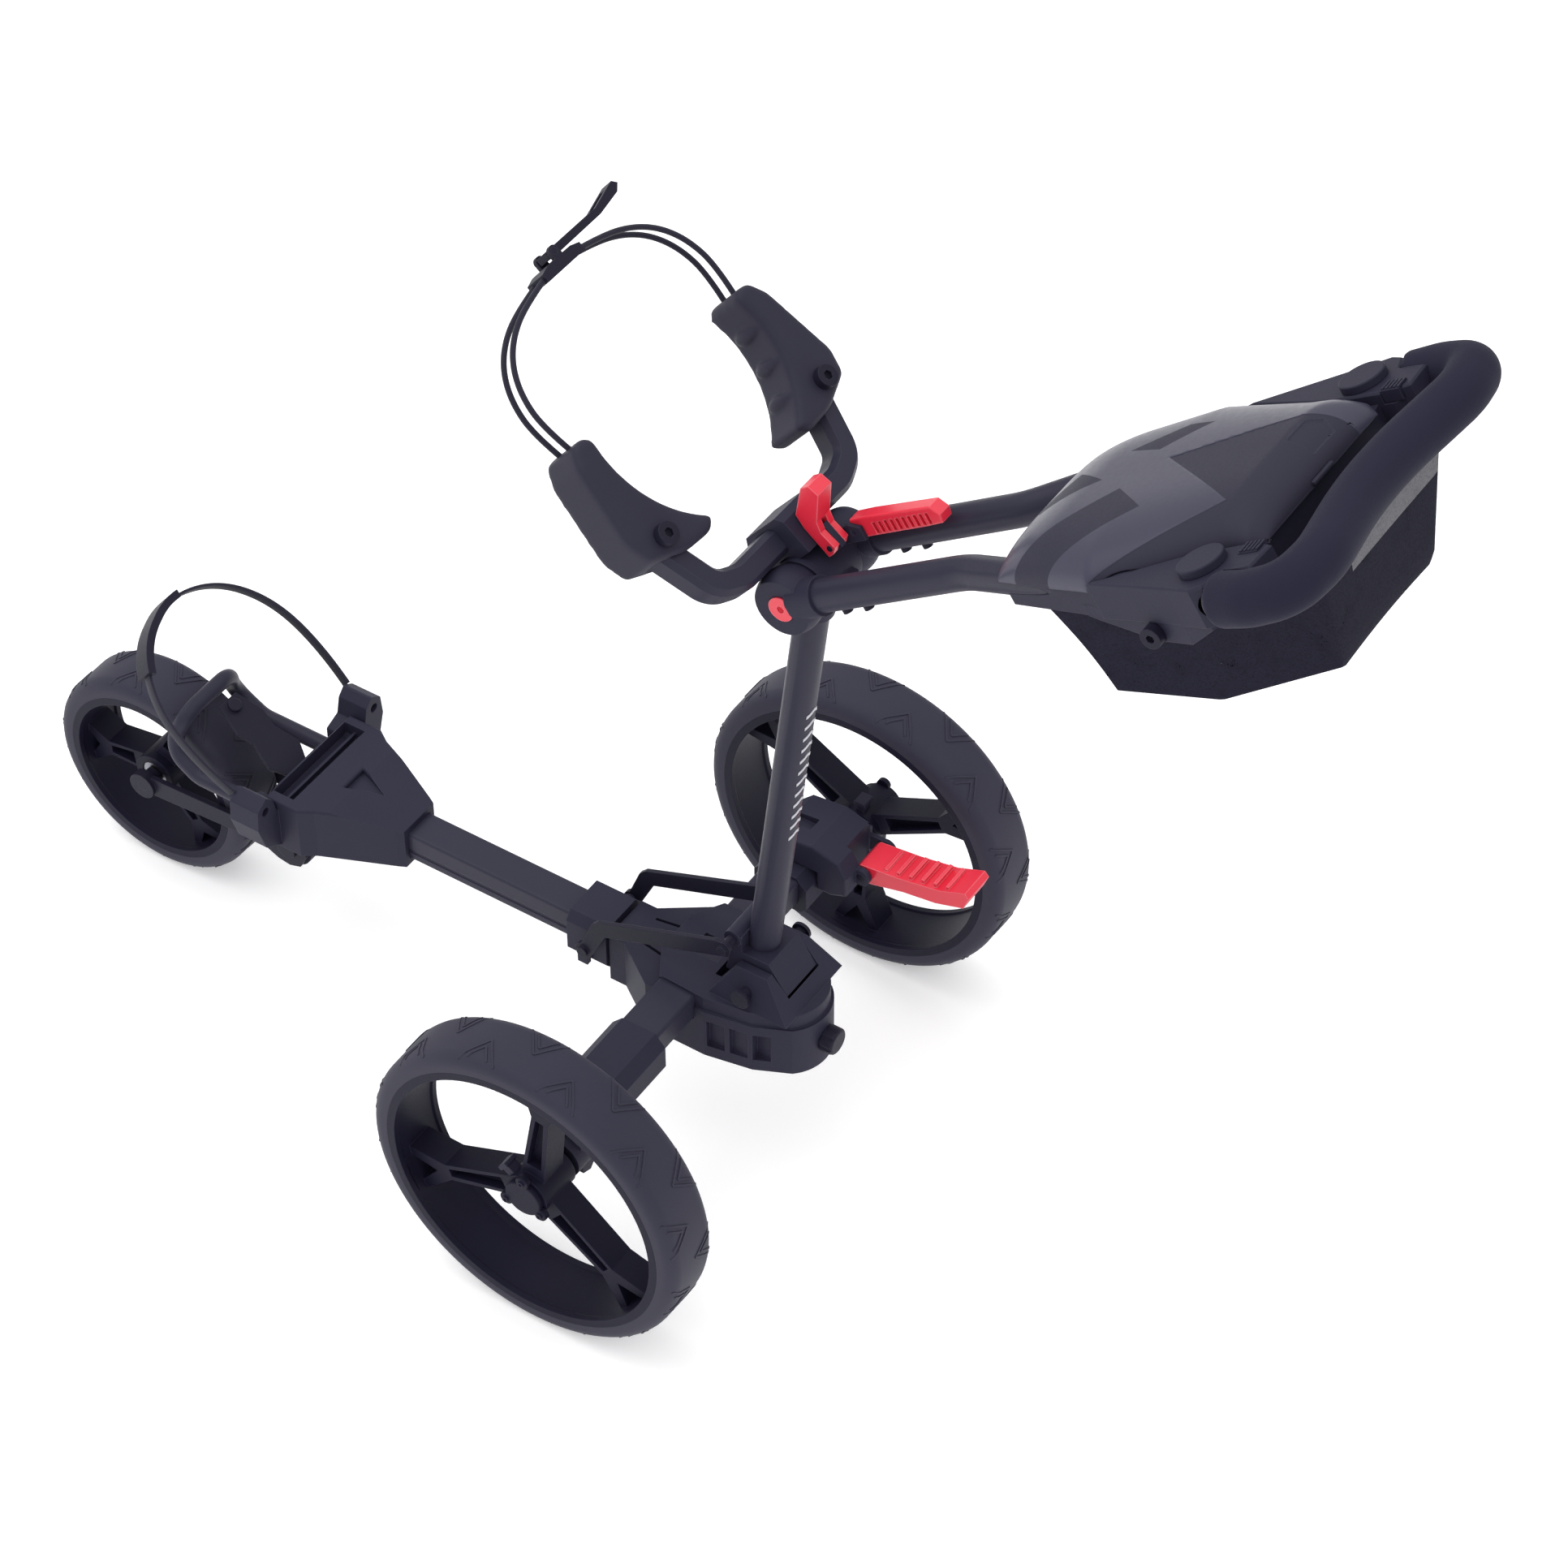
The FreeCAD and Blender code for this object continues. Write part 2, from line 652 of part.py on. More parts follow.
def brake():
    """The brake's housing on the right sleeve, its red pedal and the pedal's pin."""
    outline = [(-24, 201), (-24, 214), (-12, 226), (22, 230), (48, 222), (56, 208), (56, 188), (42, 182),
               (26.5, 182), (26.5, 201)]
    block = plate("YZ", outline, -174.0, 56.0)
    relief = box((-176, 43, 180), (36, 20, 60))
    slot = box((-150, -12, 221), (14, 22, 12))
    pin_seat = rod((-176, 60, 200), "x", 4.0, 60)
    housing = cut(soften(block, 3.0, rim_at("x", -118.0)), relief, slot, pin_seat)
    lug_out = rod((-178.5, 60, 200), "x", 8.5, 4.0)
    web_out = box((-178.5, 40, 192), (4.0, 20, 16))
    lug_in = rod((-139.5, 60, 200), "x", 8.5, 5.0)
    web_in = box((-139.5, 40, 192), (5.0, 20, 16))
    bore = rod((-182, 60, 200), "x", 4.0, 60)
    cheek = box((-178.5, 36, 184), (4.5, 8, 32))
    finish("brake_housing", cut(fuse(housing, lug_in, web_in, cheek, lug_out, web_out), bore))

    side = [(52, 196), (56, 208), (64, 209), (96, 213), (132, 220), (158, 231), (162, 226), (157, 213),
            (130, 204), (98, 199), (68, 191), (60, 190)]
    tread = plate("YZ", side, -173.0, 32.0)
    hollow = plate("YZ", [(48, 186), (60, 199), (98, 206), (130, 211), (152, 219), (150, 205), (98, 190)],
                   -169.0, 24.0)
    ribs = [box((-170.0, 78 + 12 * step, 205.5 + 2.6 * step), (26.0, 3.0, 7.5)) for step in range(6)]
    eye = rod((-173.0, 60, 200), "x", 8.5, 32.0)
    bore = rod((-180, 60, 200), "x", 4.0, 50)
    gap = box((-169.0, 44, 180), (24.0, 20, 24))
    pedal = cut(fuse(tread, eye, *ribs), hollow, gap, bore)
    finish("brake_pedal", pedal)


def frame_pins():
    """The pins that the mast, the wheel carriers and the brake pedal turn on."""
    pin = rod((-44, size.mast_pivot_y, size.mast_pivot_z), "x", 5.0 - size.running_gap, 88)
    heads = [rod((low, size.mast_pivot_y, size.mast_pivot_z), "x", 8.5, 3) for low in (-47, 44)]
    fold_left = rod((size.fold_axis_x, -26, size.fold_axis_z), "y", 5.0 - size.running_gap, 52)
    pedal_pin = rod((-178.5, 60, 200), "x", 4.0 - size.running_gap, 44.0)
    finish("frame_pins", group(fuse(pin, *heads), fold_left, mirrored(fold_left), pedal_pin))


# --- front end ----------------------------------------------------------------------------------


def lower_bracket():
    """The lower bag bracket: a housing that widens forward from the tube, with a wing at each side."""
    top = [(21, -300), (24, -306), (52, -372), (60, -384), (60, -418), (-60, -418), (-60, -384), (-52, -372),
           (-24, -306), (-21, -300)]
    body = plate("XY", top, 144.0, 54.0)
    slope = plate("YZ", [(-298, 186), (-298, 205), (-370, 205), (-370, 200)], -70.0, 140.0)
    channel = wide_box(50.0, (-416, 184), (22, 20))
    ribs = [wide_box(50.0, (-400 - 7 * step, 184), (2.4, 6)) for step in range(2)]
    window = plate("XY", [(-13, -368), (13, -368), (0, -336)], 192.0, 14.0)
    tube_seat = wide_box(size.tube_width / 2, (-396, size.tube_top - size.tube_height), (110, size.tube_height))
    shaped = soften(cut(body, slope, window), 3.0, rim_at("z", 198.0))
    wing = plate("XZ", [(46, 150), (58, 146), (80, 160), (88, 186), (86, 206), (74, 214), (66, 206), (62, 190),
                        (46, 184)], 404.0, 30.0)
    hook = rod((76, -436, 200), "y", 4.5, 40)
    wing_left = soften(cut(wing, hook), 2.0, along("y"))
    lug = plate("YZ", [(-440, 112), (-436, 146), (-402, 146), (-400, 112), (-420, 92, "arc")], -16.0, 32.0)
    pin_seat = rod((-40, size.fork_pivot_y, size.fork_pivot_z), "x", 6.0, 80)
    toe = wide_box(30.0, (-430, 146), (14, 34))
    hoop_seats = [rod((side * 45, -440, 140 + 22), "y", 7.5, 40) for side in (-1, 1)]
    solid = fuse(cut(shaped, channel), *ribs, wing_left, mirrored(wing_left), lug, toe)
    finish("lower_bracket", cut(solid, tube_seat, pin_seat, *hoop_seats))


def bracket_hoop():
    """The bent tube that stands over the front wheel and the plate it carries."""
    half = [(45, -400, 162), (45, -505, 162), (44, -536, 182), (28, -524, 216)]
    points = half + [(-x, y, z) for x, y, z in reversed(half)]
    hoop = tube_along(points, [22, 24, 20, 20, 24, 22], 7.5)
    finish("bracket_hoop", hoop)
    outline = [(-12, 0), (12, 0), (21, 16), (14, 40), (18, 56), (11, 84), (-11, 84), (-18, 56), (-14, 40), (-21, 16)]
    leaf = plate("XY", outline, 0.0, 3.0)
    hole = rod((0, 76, -2), "z", 4.0, 8)
    head = soften(rod((0, 76, -4.0), "z", 6.5, 4.0), 1.5, rim_at("z", -4.0))
    stem = rod((0, 76, 0), "z", 4.0, 3.0)
    blade = group(cut(leaf, hole), fuse(head, stem))
    blade.Placement = Placement(Vector(0, -431, 176), Rotation(ABOUT_X, 180 - 31.0))
    finish("hoop_plate", blade)


def lower_strap():
    """The flat elastic band that closes round the foot of the bag, and its pull tab."""
    half = [(80, -6), (86, -46), (80, -104), (50, -148)]
    flat = half + [(0, -166)] + [(-x, y) for x, y in reversed(half)]
    pitch = Placement(Vector(0, -431, 205), Rotation(ABOUT_X, -size.cradle_pitch.value))
    points = [(x, y, 0) for x, y in flat]
    radii = widest_radii(points)
    print("lower strap radii", [round(radius, 1) for radius in radii])
    spine = route(points, radii)
    ahead = (Vector(*points[1]) - Vector(*points[0])).normalize()
    across = ahead.cross(Vector(0, 0, 1)).normalize()
    start = Vector(*points[0])
    corners = []
    for u, v in ((-1.25, -5), (1.25, -5), (1.25, 5), (-1.25, 5)):
        corners.append(start + across * u + Vector(0, 0, 1) * v)
    section = Part.makePolygon(corners + corners[:1])
    band = swept(section, spine)
    band.Placement = pitch
    finish("lower_strap", band)
    leaf = [(8, -190), (60, -174), (78, -138), (60, -122), (30, -142), (-6, -152), (-10, -172)]
    reach = plate("XY", leaf, -11.0, 22.0)
    wide = []
    for u, v in ((-4, -11), (3, -11), (3, 11), (-4, 11)):
        wide.append(start + across * u + Vector(0, 0, 1) * v)
    sleeve = common(swept(Part.makePolygon(wide + wide[:1]), spine), reach)
    tab = group(cut(sleeve, swept(section, spine)))
    tab.Placement = pitch
    finish("strap_tab", tab)


def front_fork():
    """The fork that carries the front wheel, with its pivot pin, side discs and axle."""
    pivot_y = size.fork_pivot_y.value
    pivot_z = size.fork_pivot_z.value
    side = [
        (-581, 112.5), (-570, 115), (-450, 121), (-432, 130), (-420, 132), (-408, 128), (-400, 112),
        (-408, 96), (-420, 92), (-432, 94), (-450, 103), (-570, 95), (-581, 95.5),
    ]
    bar = plate("YZ", side, size.fork_inside, size.fork_plate)
    boss = rod((size.fork_inside, size.front_axle_y, size.front_radius), "x", 13.0, 9.0)
    axle_seat = rod((20, size.front_axle_y, size.front_radius), "x", size.axle_radius, 40)
    pin_seat = rod((20, size.fork_pivot_y, size.fork_pivot_z), "x", 6.0, 40)
    both("fork_arms", cut(fuse(bar, boss), axle_seat, pin_seat))
    disc = rod((16.3, size.fork_pivot_y, size.fork_pivot_z), "x", 21.0, 14.7)
    teeth = []
    for step in range(12):
        angle = math.radians(30 * step)
        teeth.append(rod((20, pivot_y + 22 * math.cos(angle), pivot_z + 22 * math.sin(angle)), "x", 2.4, 8))
    bore = rod((10, size.fork_pivot_y, size.fork_pivot_z), "x", 6.0, 40)
    both("fork_discs", cut(disc, bore, *teeth))
    pin = rod((-38, size.fork_pivot_y, size.fork_pivot_z), "x", 6.0 - size.running_gap, 76)
    heads = [rod((low, size.fork_pivot_y, size.fork_pivot_z), "x", 9.0, 3) for low in (-39, 36)]
    axle = rod((-40, size.front_axle_y, size.front_radius), "x", size.axle_radius, 80)
    spacers = [rod((low, size.front_axle_y, size.front_radius), "x", 8.0, 8.5) for low in (-30.7, 22.2)]
    finish("fork_pins", group(fuse(pin, *heads), fuse(axle, *spacers)))


def fold_linkage():
    """The collar that slides on the front tube and the two cranked bars that drive it."""
    low = size.tube_top - size.tube_height
    outline = [(-26, 150), (-20, 143), (20, 143), (26, 150), (26, 182), (19, 191), (-19, 191), (-26, 182)]
    ring = plate("XZ", outline, 88.0, 40.0)
    bore = wide_box(size.tube_width / 2 + 0.3, (-140, low - 0.3), (60, size.tube_height + 0.6))
    lugs = rod((-33, -103, 170), "x", 6.0, 66)
    step = box((26.0, -114, 146), (5.0, 10, 10))
    collar = cut(fuse(ring, lugs, step), bore)
    finish("slide_collar", collar)
    side = [(-110, 165), (-103, 163), (-96, 166), (-80, 199), (44, 248), (45, 255), (38, 261), (30, 260),
            (-88, 212), (-94, 206)]
    bar = plate("YZ", side, 33.3, 4.0)
    eye = rod((33.3, -103, 170), "x", 8.0, 4.0)
    screw = rod((33.3, -103, 170), "x", 5.0, 7.0)
    rear_eye = rod((33.3, 38, 254), "x", 7.0, 4.0)
    rear_screw = rod((23.5, 38, 254), "x", 4.5, 16.5)
    both("link_bars", fuse(bar, eye, screw, rear_eye, rear_screw))


# --- mast ---------------------------------------------------------------------------------------


def mast():
    """The foot that turns on the chassis, the mast tube and the hub on its top."""
    block = plate("YZ", [(30, 214), (36, 241), (72, 241), (90, 214)], -21.5, 43.0)
    round_foot = rod((-21.5, size.mast_pivot_y, size.mast_pivot_z), "x", 24.0, 43.0)
    pin_bore = rod((-30, size.mast_pivot_y, size.mast_pivot_z), "x", 5.0, 60)
    socket = rod((0, 0, -20), "z", size.mast_radius, 60)
    socket.Placement = FRAMES["cart"].inverse().multiply(FRAMES["mast"]).multiply(socket.Placement)
    ears = rod((-23.2, 38, 254), "x", 8.0, 46.4)
    bridge = wide_box(21.5, (32, 236), (14, 22))
    finish("mast_foot", cut(fuse(block, round_foot, ears, bridge), pin_bore, socket))
    length = size.mast_length - 20
    outside = rod((0, 0, -20), "z", size.mast_radius, length)
    inside = rod((0, 0, -22), "z", size.mast_radius - size.mast_wall, length + 4)
    finish("mast_tube", cut(outside, inside), "mast")
    core = rod((-22.6, 0, size.mast_length), "x", 24.0, 45.2)
    neck = rod((0, 0, size.mast_length - 40), "z", 17.0, 34)
    base = wide_box(10.7, (14, size.mast_length - 8), (14, 18))
    seat = rod((0, 0, size.mast_length - 60), "z", size.mast_radius, 40)
    bore = rod((-30, 0, size.mast_length), "x", 6.0 + size.running_gap, 60)
    diamond = box((-6, 26.5, size.mast_length - 5), (12, 4, 10))
    finish("hub_core", cut(fuse(core, neck, base), seat, bore, diamond), "mast")


# --- upper bag cradle ---------------------------------------------------------------------------

HUB_FROM_CRADLE = FRAMES["cradle"].inverse().multVec(Vector(0, HUB_Y + SHIFT, HUB_Z))


def cradle():
    """The block on the hub, the bent bar, the two pads and their bolts."""
    block_side = [(112, -18), (118, -23), (147, -23), (147, 28), (118, 28), (112, 22)]
    block = plate("YZ", block_side, -19.0, 38.0)
    hub_room = rod((-40, HUB_FROM_CRADLE.y, HUB_FROM_CRADLE.z), "x", 24.3, 80)
    bar_points = [(-106, 62, 0), (-88, 118, 0), (-66, 127, 0), (66, 127, 0), (88, 118, 0), (106, 62, 0)]
    bar_radii = [22, 30, 30, 22]
    spine = route(bar_points, bar_radii)
    ahead = (Vector(*bar_points[1]) - Vector(*bar_points[0])).normalize()
    across = ahead.cross(Vector(0, 0, 1)).normalize()
    start = Vector(*bar_points[0])
    section = []
    for u, v in ((-11, -8), (-7, -13), (7, -13), (11, -8), (11, 8), (7, 13), (-7, 13), (-11, 8)):
        section.append(start + across * u + Vector(0, 0, 1) * v)
    bar = swept(Part.makePolygon(section + section[:1]), spine)
    shaped = cut(block, hub_room)
    bar_room = swept(Part.makePolygon(section + section[:1]), spine)
    finish("cradle_bar", group(bar), "cradle")
    tab = wide_box(2.7, (138, 24), (22, 17))
    pin_seat = rod((-20, 155, 36), "x", 2.5 - size.running_gap, 40)
    finish("cradle_block", cut(fuse(shaped, tab), bar_room, pin_seat), "cradle")

    inner = size.bag_radius.value
    low_angle, mid_angle, top_angle = math.radians(54), math.radians(22), math.radians(-13)
    outline = [
        (inner * math.cos(low_angle), inner * math.sin(low_angle)),
        (inner * math.cos(mid_angle), inner * math.sin(mid_angle), "arc"),
        (inner * math.cos(top_angle), inner * math.sin(top_angle)),
        (100, -28), (113, -27), (122, -12), (133, 52), (127, 72), (96, 84), (66, 86),
    ]
    wing = soften(plate("XY", outline, -22.0, 44.0), 3.0, rim_at("z", 22.0), "Part::Chamfer")
    bar_copy = swept(Part.makePolygon(section + section[:1]), spine)
    bolt_seat = rod((105, 64, 12.9), "z", 4.0, 20)
    both("cradle_pads", cut(wing, bar_copy, bolt_seat), "cradle")
    bolts = []
    for side in (-1, 1):
        head = rod((side * 105, 64, 22), "z", 9.0, 7.5)
        stem = rod((side * 105, 64, 13), "z", 4.0, 9)
        socket = hexagon((side * 105, 64, 26), "z", 7.0, 6)
        bolts.append(cut(fuse(head, stem), socket))
    bolts.append(rod((-9.5, 155, 36), "x", 2.5 - size.running_gap, 19))
    finish("cradle_fasteners", group(*bolts), "cradle")


CORD_ROUTE = [(106, -28.3), (111, -52), (107, -78), (95, -99), (76, -114), (50, -124), (23.7, -129)]


def cradle_strap():
    """Two elastic cords from each pad, the buckle where they meet and its long lever."""
    cords = []
    for side in (-1, 1):
        for lift in (-7.0, 7.0):
            points = [(side * x, y, lift) for x, y in CORD_ROUTE]
            radii = widest_radii(points)
            cords.append(tube_along(points, radii, size.cord_radius))
    print("strap cord radii", [round(radius, 1) for radius in radii])
    finish("strap_cords", group(*cords), "cradle")
    base = plate("XY", [(-23, -132.5), (-23, -125.5), (23, -125.5), (23, -132.5), (14, -135), (-14, -135)],
                 -12.0, 24.0)
    lugs = [rod((0, -140, low), "z", 4.6, 4) for low in (-12.0, 8.0)]
    lugs += [box((-4.6, -140, low), (9.2, 7, 4)) for low in (-12.0, 8.0)]
    eye = rod((0, -140, -14), "z", 3.0, 28)
    finish("strap_buckle", cut(fuse(base, *lugs), eye), "cradle")
    side_view = [(4, -143), (4, -137), (-8, -136.5), (-60, -137), (-86, -141), (-92, -146), (-88, -150), (-60, -143)]
    lever = plate("XY", side_view, -7.0, 14.0)
    slot = box((-80, -160, -3.5), (22, 40, 7))
    pin = rod((0, -140, -12), "z", 3.0 - size.running_gap, 24)
    finish("strap_lever", fuse(cut(lever, slot), pin), "cradle")


def cradle_lever():
    """The red L-shaped lever that locks the cradle's tilt."""
    side = [(160, 35), (157, 41), (142, 40), (134, 44), (118, 66), (108, 64), (106, 56), (120, 32), (132, 29.2),
            (160, 29.2)]
    lever = plate("YZ", side, 3.0, 6.0)
    arm = plate("YZ", side, -9.0, 6.0)
    bridge_side = [(134, 44), (118, 66), (108, 64), (106, 56), (120, 32), (132, 29.2), (136, 36)]
    bridge = plate("YZ", bridge_side, -3.1, 6.2)
    bore = rod((-20, 155, 36), "x", 2.5, 40)
    finish("tilt_lever", cut(fuse(lever, arm, bridge), bore), "cradle")


# --- handle -------------------------------------------------------------------------------------


def knuckle(side):
    """One knuckle: a ball cut flat at both sides, with a collar that takes the tube's end."""
    globe = ball((side * 38, 0, 0), 26.5)
    window = box((23.2 if side > 0 else -50.2, -30, -30), (27, 60, 60))
    collar = rod((side * size.handle_inside, 10, 0), "y", 15.5, 26)
    bore = rod((10 if side > 0 else -70, 0, 0), "x", 6.0, 60)
    cap_seat = rod((48.0 if side > 0 else -58.0, 0, 0), "x", 10.6, 10)
    return cut(fuse(common(globe, window), collar), bore, cap_seat)


def handle_frame():
    """Knuckles, pivot bolt and its caps, and the two bent tubes."""
    finish("handle_knuckles", group(knuckle(1), knuckle(-1)), "handle")
    finish("pivot_bolt", rod((-48, 0, 0), "x", 6.0, 96), "handle")
    disc = rod((48.0, 0, 0), "x", 10.5, 3.6)
    socket = hexagon((49.4, 0, 0), "x", 6.0, 6)
    notch = box((47, 6.5, -14), (8, 8, 12))
    both("pivot_caps", cut(disc, socket, notch), "handle")

    inside = size.handle_inside.value
    outside = size.handle_outside.value
    bend = size.handle_bend.value
    end = size.grip_start.value - 12
    slope = (outside - inside) / (size.grip_start.value - bend)
    points = [(inside, 36, 0), (inside, bend, 0), (inside + slope * (end - bend), end, 0)]
    tube = tube_along(points, [90], size.handle_tube_radius, size.handle_tube_radius - 1.8)
    both("handle_tubes", tube, "handle")
    feet = []
    for side in (-1, 1):
        for start in (52, 74):
            feet.append(rod((side * inside, start, -16.5), "z", 4.0, 4.0))
    feet_group = cut(group(*feet), rod((-inside, 30, 0), "y", size.handle_tube_radius, 70),
                     rod((inside, 30, 0), "y", size.handle_tube_radius, 70))
    return feet_group


def grip_route():
    """The bow-shaped centre line of the grip, and the radius of each of its bends."""
    outside = size.handle_outside.value
    start = size.grip_start.value
    corner = size.grip_corner.value
    half = [(outside, start - 5, 0), (outside + 5, start + 26, 0), (outside, corner - 8, 0),
            (outside - 34, corner - 2, 0), (0, corner - 22, 0)]
    points = half + [(-x, y, z) for x, y, z in reversed(half[:-1])]
    return points, [30, 22, 60, 260, 60, 22, 30]


def grip_solid(radius, trim, inner=None):
    """A round solid along the grip's centre line, trimmed at both ends."""
    points, radii = grip_route()
    first = Vector(*points[0])
    ahead = (Vector(*points[1]) - first).normalize()
    start = first + ahead * trim
    points = [tuple(start)] + points[1:-1] + [(-start.x, start.y, start.z)]
    return tube_along(points, radii, radius, inner)


def grip():
    """The grip: a core tube bent like a bow, and the foam sleeve over it."""
    finish("grip_core", group(grip_solid(size.handle_tube_radius, 0, size.handle_tube_radius - 1.8)), "handle")
    sleeve = cut(grip_solid(size.grip_radius, 6), grip_solid(size.handle_tube_radius, 0))
    finish("grip_foam", sleeve, "handle")


TRAY_OUTLINE = [(60, 239), (70, 242), (107, 352), (134, 440), (142, 466), (140, 474), (96, 478), (84, 480)]


def console():
    """The tray that spans the tubes, its lid, docks, buttons and skirt bolts."""
    outer = TRAY_OUTLINE + [(-x, y) for x, y in reversed(TRAY_OUTLINE)]
    shell = plate("XY", outer, -15.0, 21.0)
    opening = [(46, 262), (70, 330), (84, 400), (76, 472), (-76, 472), (-84, 400), (-70, 330), (-46, 262)]
    mouth = plate("XY", opening, -20.0, 40.0)
    skirt_side = [(330, -15), (402, -30), (440, -30), (478, -14), (478, -6), (330, -6)]
    skirt_view = plate("YZ", skirt_side, 90.0, 60.0)
    skirt_outline = [(95, 330), (101, 333), (107, 352), (134, 440), (140, 468), (136, 476), (118, 476),
                     (106, 404)]
    skirt_plan = plate("XY", skirt_outline, -40.0, 60.0)
    skirt = common(skirt_view, skirt_plan)
    dock = [(92, 438), (110.5, 354), (134, 440), (142, 466), (139, 476), (124, 482), (122, 506), (96, 508),
            (90, 492)]
    platform = soften(plate("XY", dock, -14.0, 29.0), 1.5, rim_at("z", 15.0), "Part::Chamfer")
    platform_other = mirrored(platform)
    tubes = []
    slope = (size.handle_outside - size.handle_inside) / (size.grip_start - size.handle_bend)
    angle = math.degrees(math.atan(slope.value))
    for side in (-1, 1):
        channel = rod((0, 0, 0), "y", size.handle_tube_radius, 300)
        start = Vector(side * (size.handle_inside.value + slope.value * 25), size.handle_bend.value + 25, 0)
        channel.Placement = Placement(start, Rotation(Vector(0, 0, 1), -side * angle).multiply(TURN_TO_AXIS["y"]))
        tubes.append(channel)
    tubes.append(grip_solid(size.grip_radius + 0.4, 5.6))
    tubes.append(grip_solid(size.handle_tube_radius, 0))
    button_rooms = [box((low, 484.6, 5.6), (20.0, 16.8, 12.0)) for low in (84.0, -104.0)]
    dock_seats = [rod((side * 111, 460, 11), "z", 5.0 + size.running_gap, 10) for side in (-1, 1)]
    bolt_seats = [rod((low, 406, -22), "x", 3.0, 24) for low in (104, -128)]
    bolt_seats += [rod((low, 406, -22), "x", 8.3, 20) for low in (124, -144)]
    lugs = []
    for low in (18.3, -24.0):
        lugs.append(box((low, 231.5, -6), (5.7, 10.5, 12)))
        lugs.append(box((low, 231.5, 0), (5.7, 7.0, 8)))
        lugs.append(rod((low, 235, 8), "x", 3.5, 5.7))
    hinge_seat = rod((-30, 235, 8), "x", 1.8 + size.running_gap, 60)
    solid = fuse(shell, skirt, mirrored(skirt), platform, platform_other, *lugs)
    rest = cut(solid, mouth, hinge_seat, *tubes, *button_rooms, *dock_seats, *bolt_seats)
    finish("console_tray", rest, "handle")

    for name, side in (("left", 1), ("right", -1)):
        disc = rod((side * 111, 460, 15.2), "z", 17.5, 6.0)
        rounded = soften(disc, 1.2, rim_at("z", 21.2))
        stem = rod((side * 111, 460, 11.2), "z", 5.0, 5.0)
        finish(f"dock_disc_{name}", fuse(rounded, stem), "handle")
        low = 91.0 if side > 0 else -103.4
        block = box((low, 485, 6.0), (12.4, 16.0, 9.5))
        ribs = [box((low + 0.6, 486.2 + 3.4 * step, 15.5), (11.2, 1.6, 1.4)) for step in range(5)]
        finish(f"grip_button_{name}", fuse(block, *ribs), "handle")
    bolts = []
    for side in (-1, 1):
        bolts.append(rod((104 if side > 0 else -128, 406, -22), "x", 3.0, 24))
        bolts.append(cut(rod((124.0 if side > 0 else -133.0, 406, -22), "x", 8.0, 9),
                         hexagon((129.5 if side > 0 else -134.5, 406, -22), "x", 6.0, 5)))
    return group(fuse(bolts[0], bolts[1]), fuse(bolts[2], bolts[3]))


LID_LEVELS = [
    (6.5, [(73, 240), (109.5, 352), (89, 440), (84, 488)]),
    (17.5, [(69, 243), (103, 350), (85, 437), (80, 485)]),
    (27.0, [(58, 262), (86, 350), (76, 430), (69, 476)]),
    (34.0, [(42, 292), (64, 352), (62, 420), (50, 462)]),
]


def lid_section(corners, inset, height):
    """One outline of the lid, as a wire at a height above the handle's plane."""
    points = []
    for number, (x, s) in enumerate(corners):
        shift = (inset, 0, 0, -inset)[number]
        points.append(Vector(x - 1.1 * inset, s + shift, height))
    points = points + [Vector(-point.x, point.y, point.z) for point in reversed(points)]
    outline = doc.addObject("Part::Feature", "Outline")
    outline.Shape = Part.makePolygon(points + points[:1])
    return outline


def lid():
    """The domed lid: a loft of outlines, hollow beneath, a finger tab at the rear and a hinge in front."""
    def dome(inset, drop):
        loft = doc.addObject("Part::Loft", "Dome")
        loft.Sections = [lid_section(corners, inset, height - (drop if height > 6.5 else 0.0))
                         for height, corners in LID_LEVELS]
        loft.Solid = True
        loft.Ruled = True
        doc.recompute()
        return loft
    tubes = []
    for side in (-1, 1):
        inside = side * size.handle_inside.value
        outside = side * size.handle_outside.value
        points = [(inside, 100, 0), (inside, size.handle_bend.value, 0), (outside, size.grip_start.value, 0)]
        tubes.append(tube_along(points, [90], size.handle_tube_radius + 1.0))
    shell = cut(dome(0.0, 0.0), dome(3.0, 2.5), *tubes)
    tab = soften(wide_box(13.0, (481, 7.5), (10, 3.5)), 3.0, along("z"))
    web = box((-17.5, 235, 6.6), (35, 8, 2.8))
    barrel = rod((-18, 235, 8), "x", 3.2, 36)
    pin = rod((-24, 235, 8), "x", 1.8, 48)
    finish("console_lid", fuse(shell, tab, web, barrel, pin), "handle")


def net_bag():
    """The mesh bag below the tray, a thin-walled basket that is open at the top."""
    def basket(inset, lift):
        side = [(286 + inset, -15.3 + lift), (282 + inset, -100 + inset), (366, -121 + inset),
                (486 - inset, -104 + inset), (524 - inset, -19.5 + lift), (497, -19.5 + lift), (490, -15.3 + lift)]
        front = [(84 - inset, -15.3 + lift), (60 - inset, -124 + inset), (inset - 60, -124 + inset),
                 (inset - 84, -15.3 + lift)]
        return common(plate("YZ", side, -100.0, 200.0), plate("XZ", front, -600.0, 400.0))
    finish("net_bag", cut(basket(0.0, 0.0), basket(1.6, 5.0)), "handle")


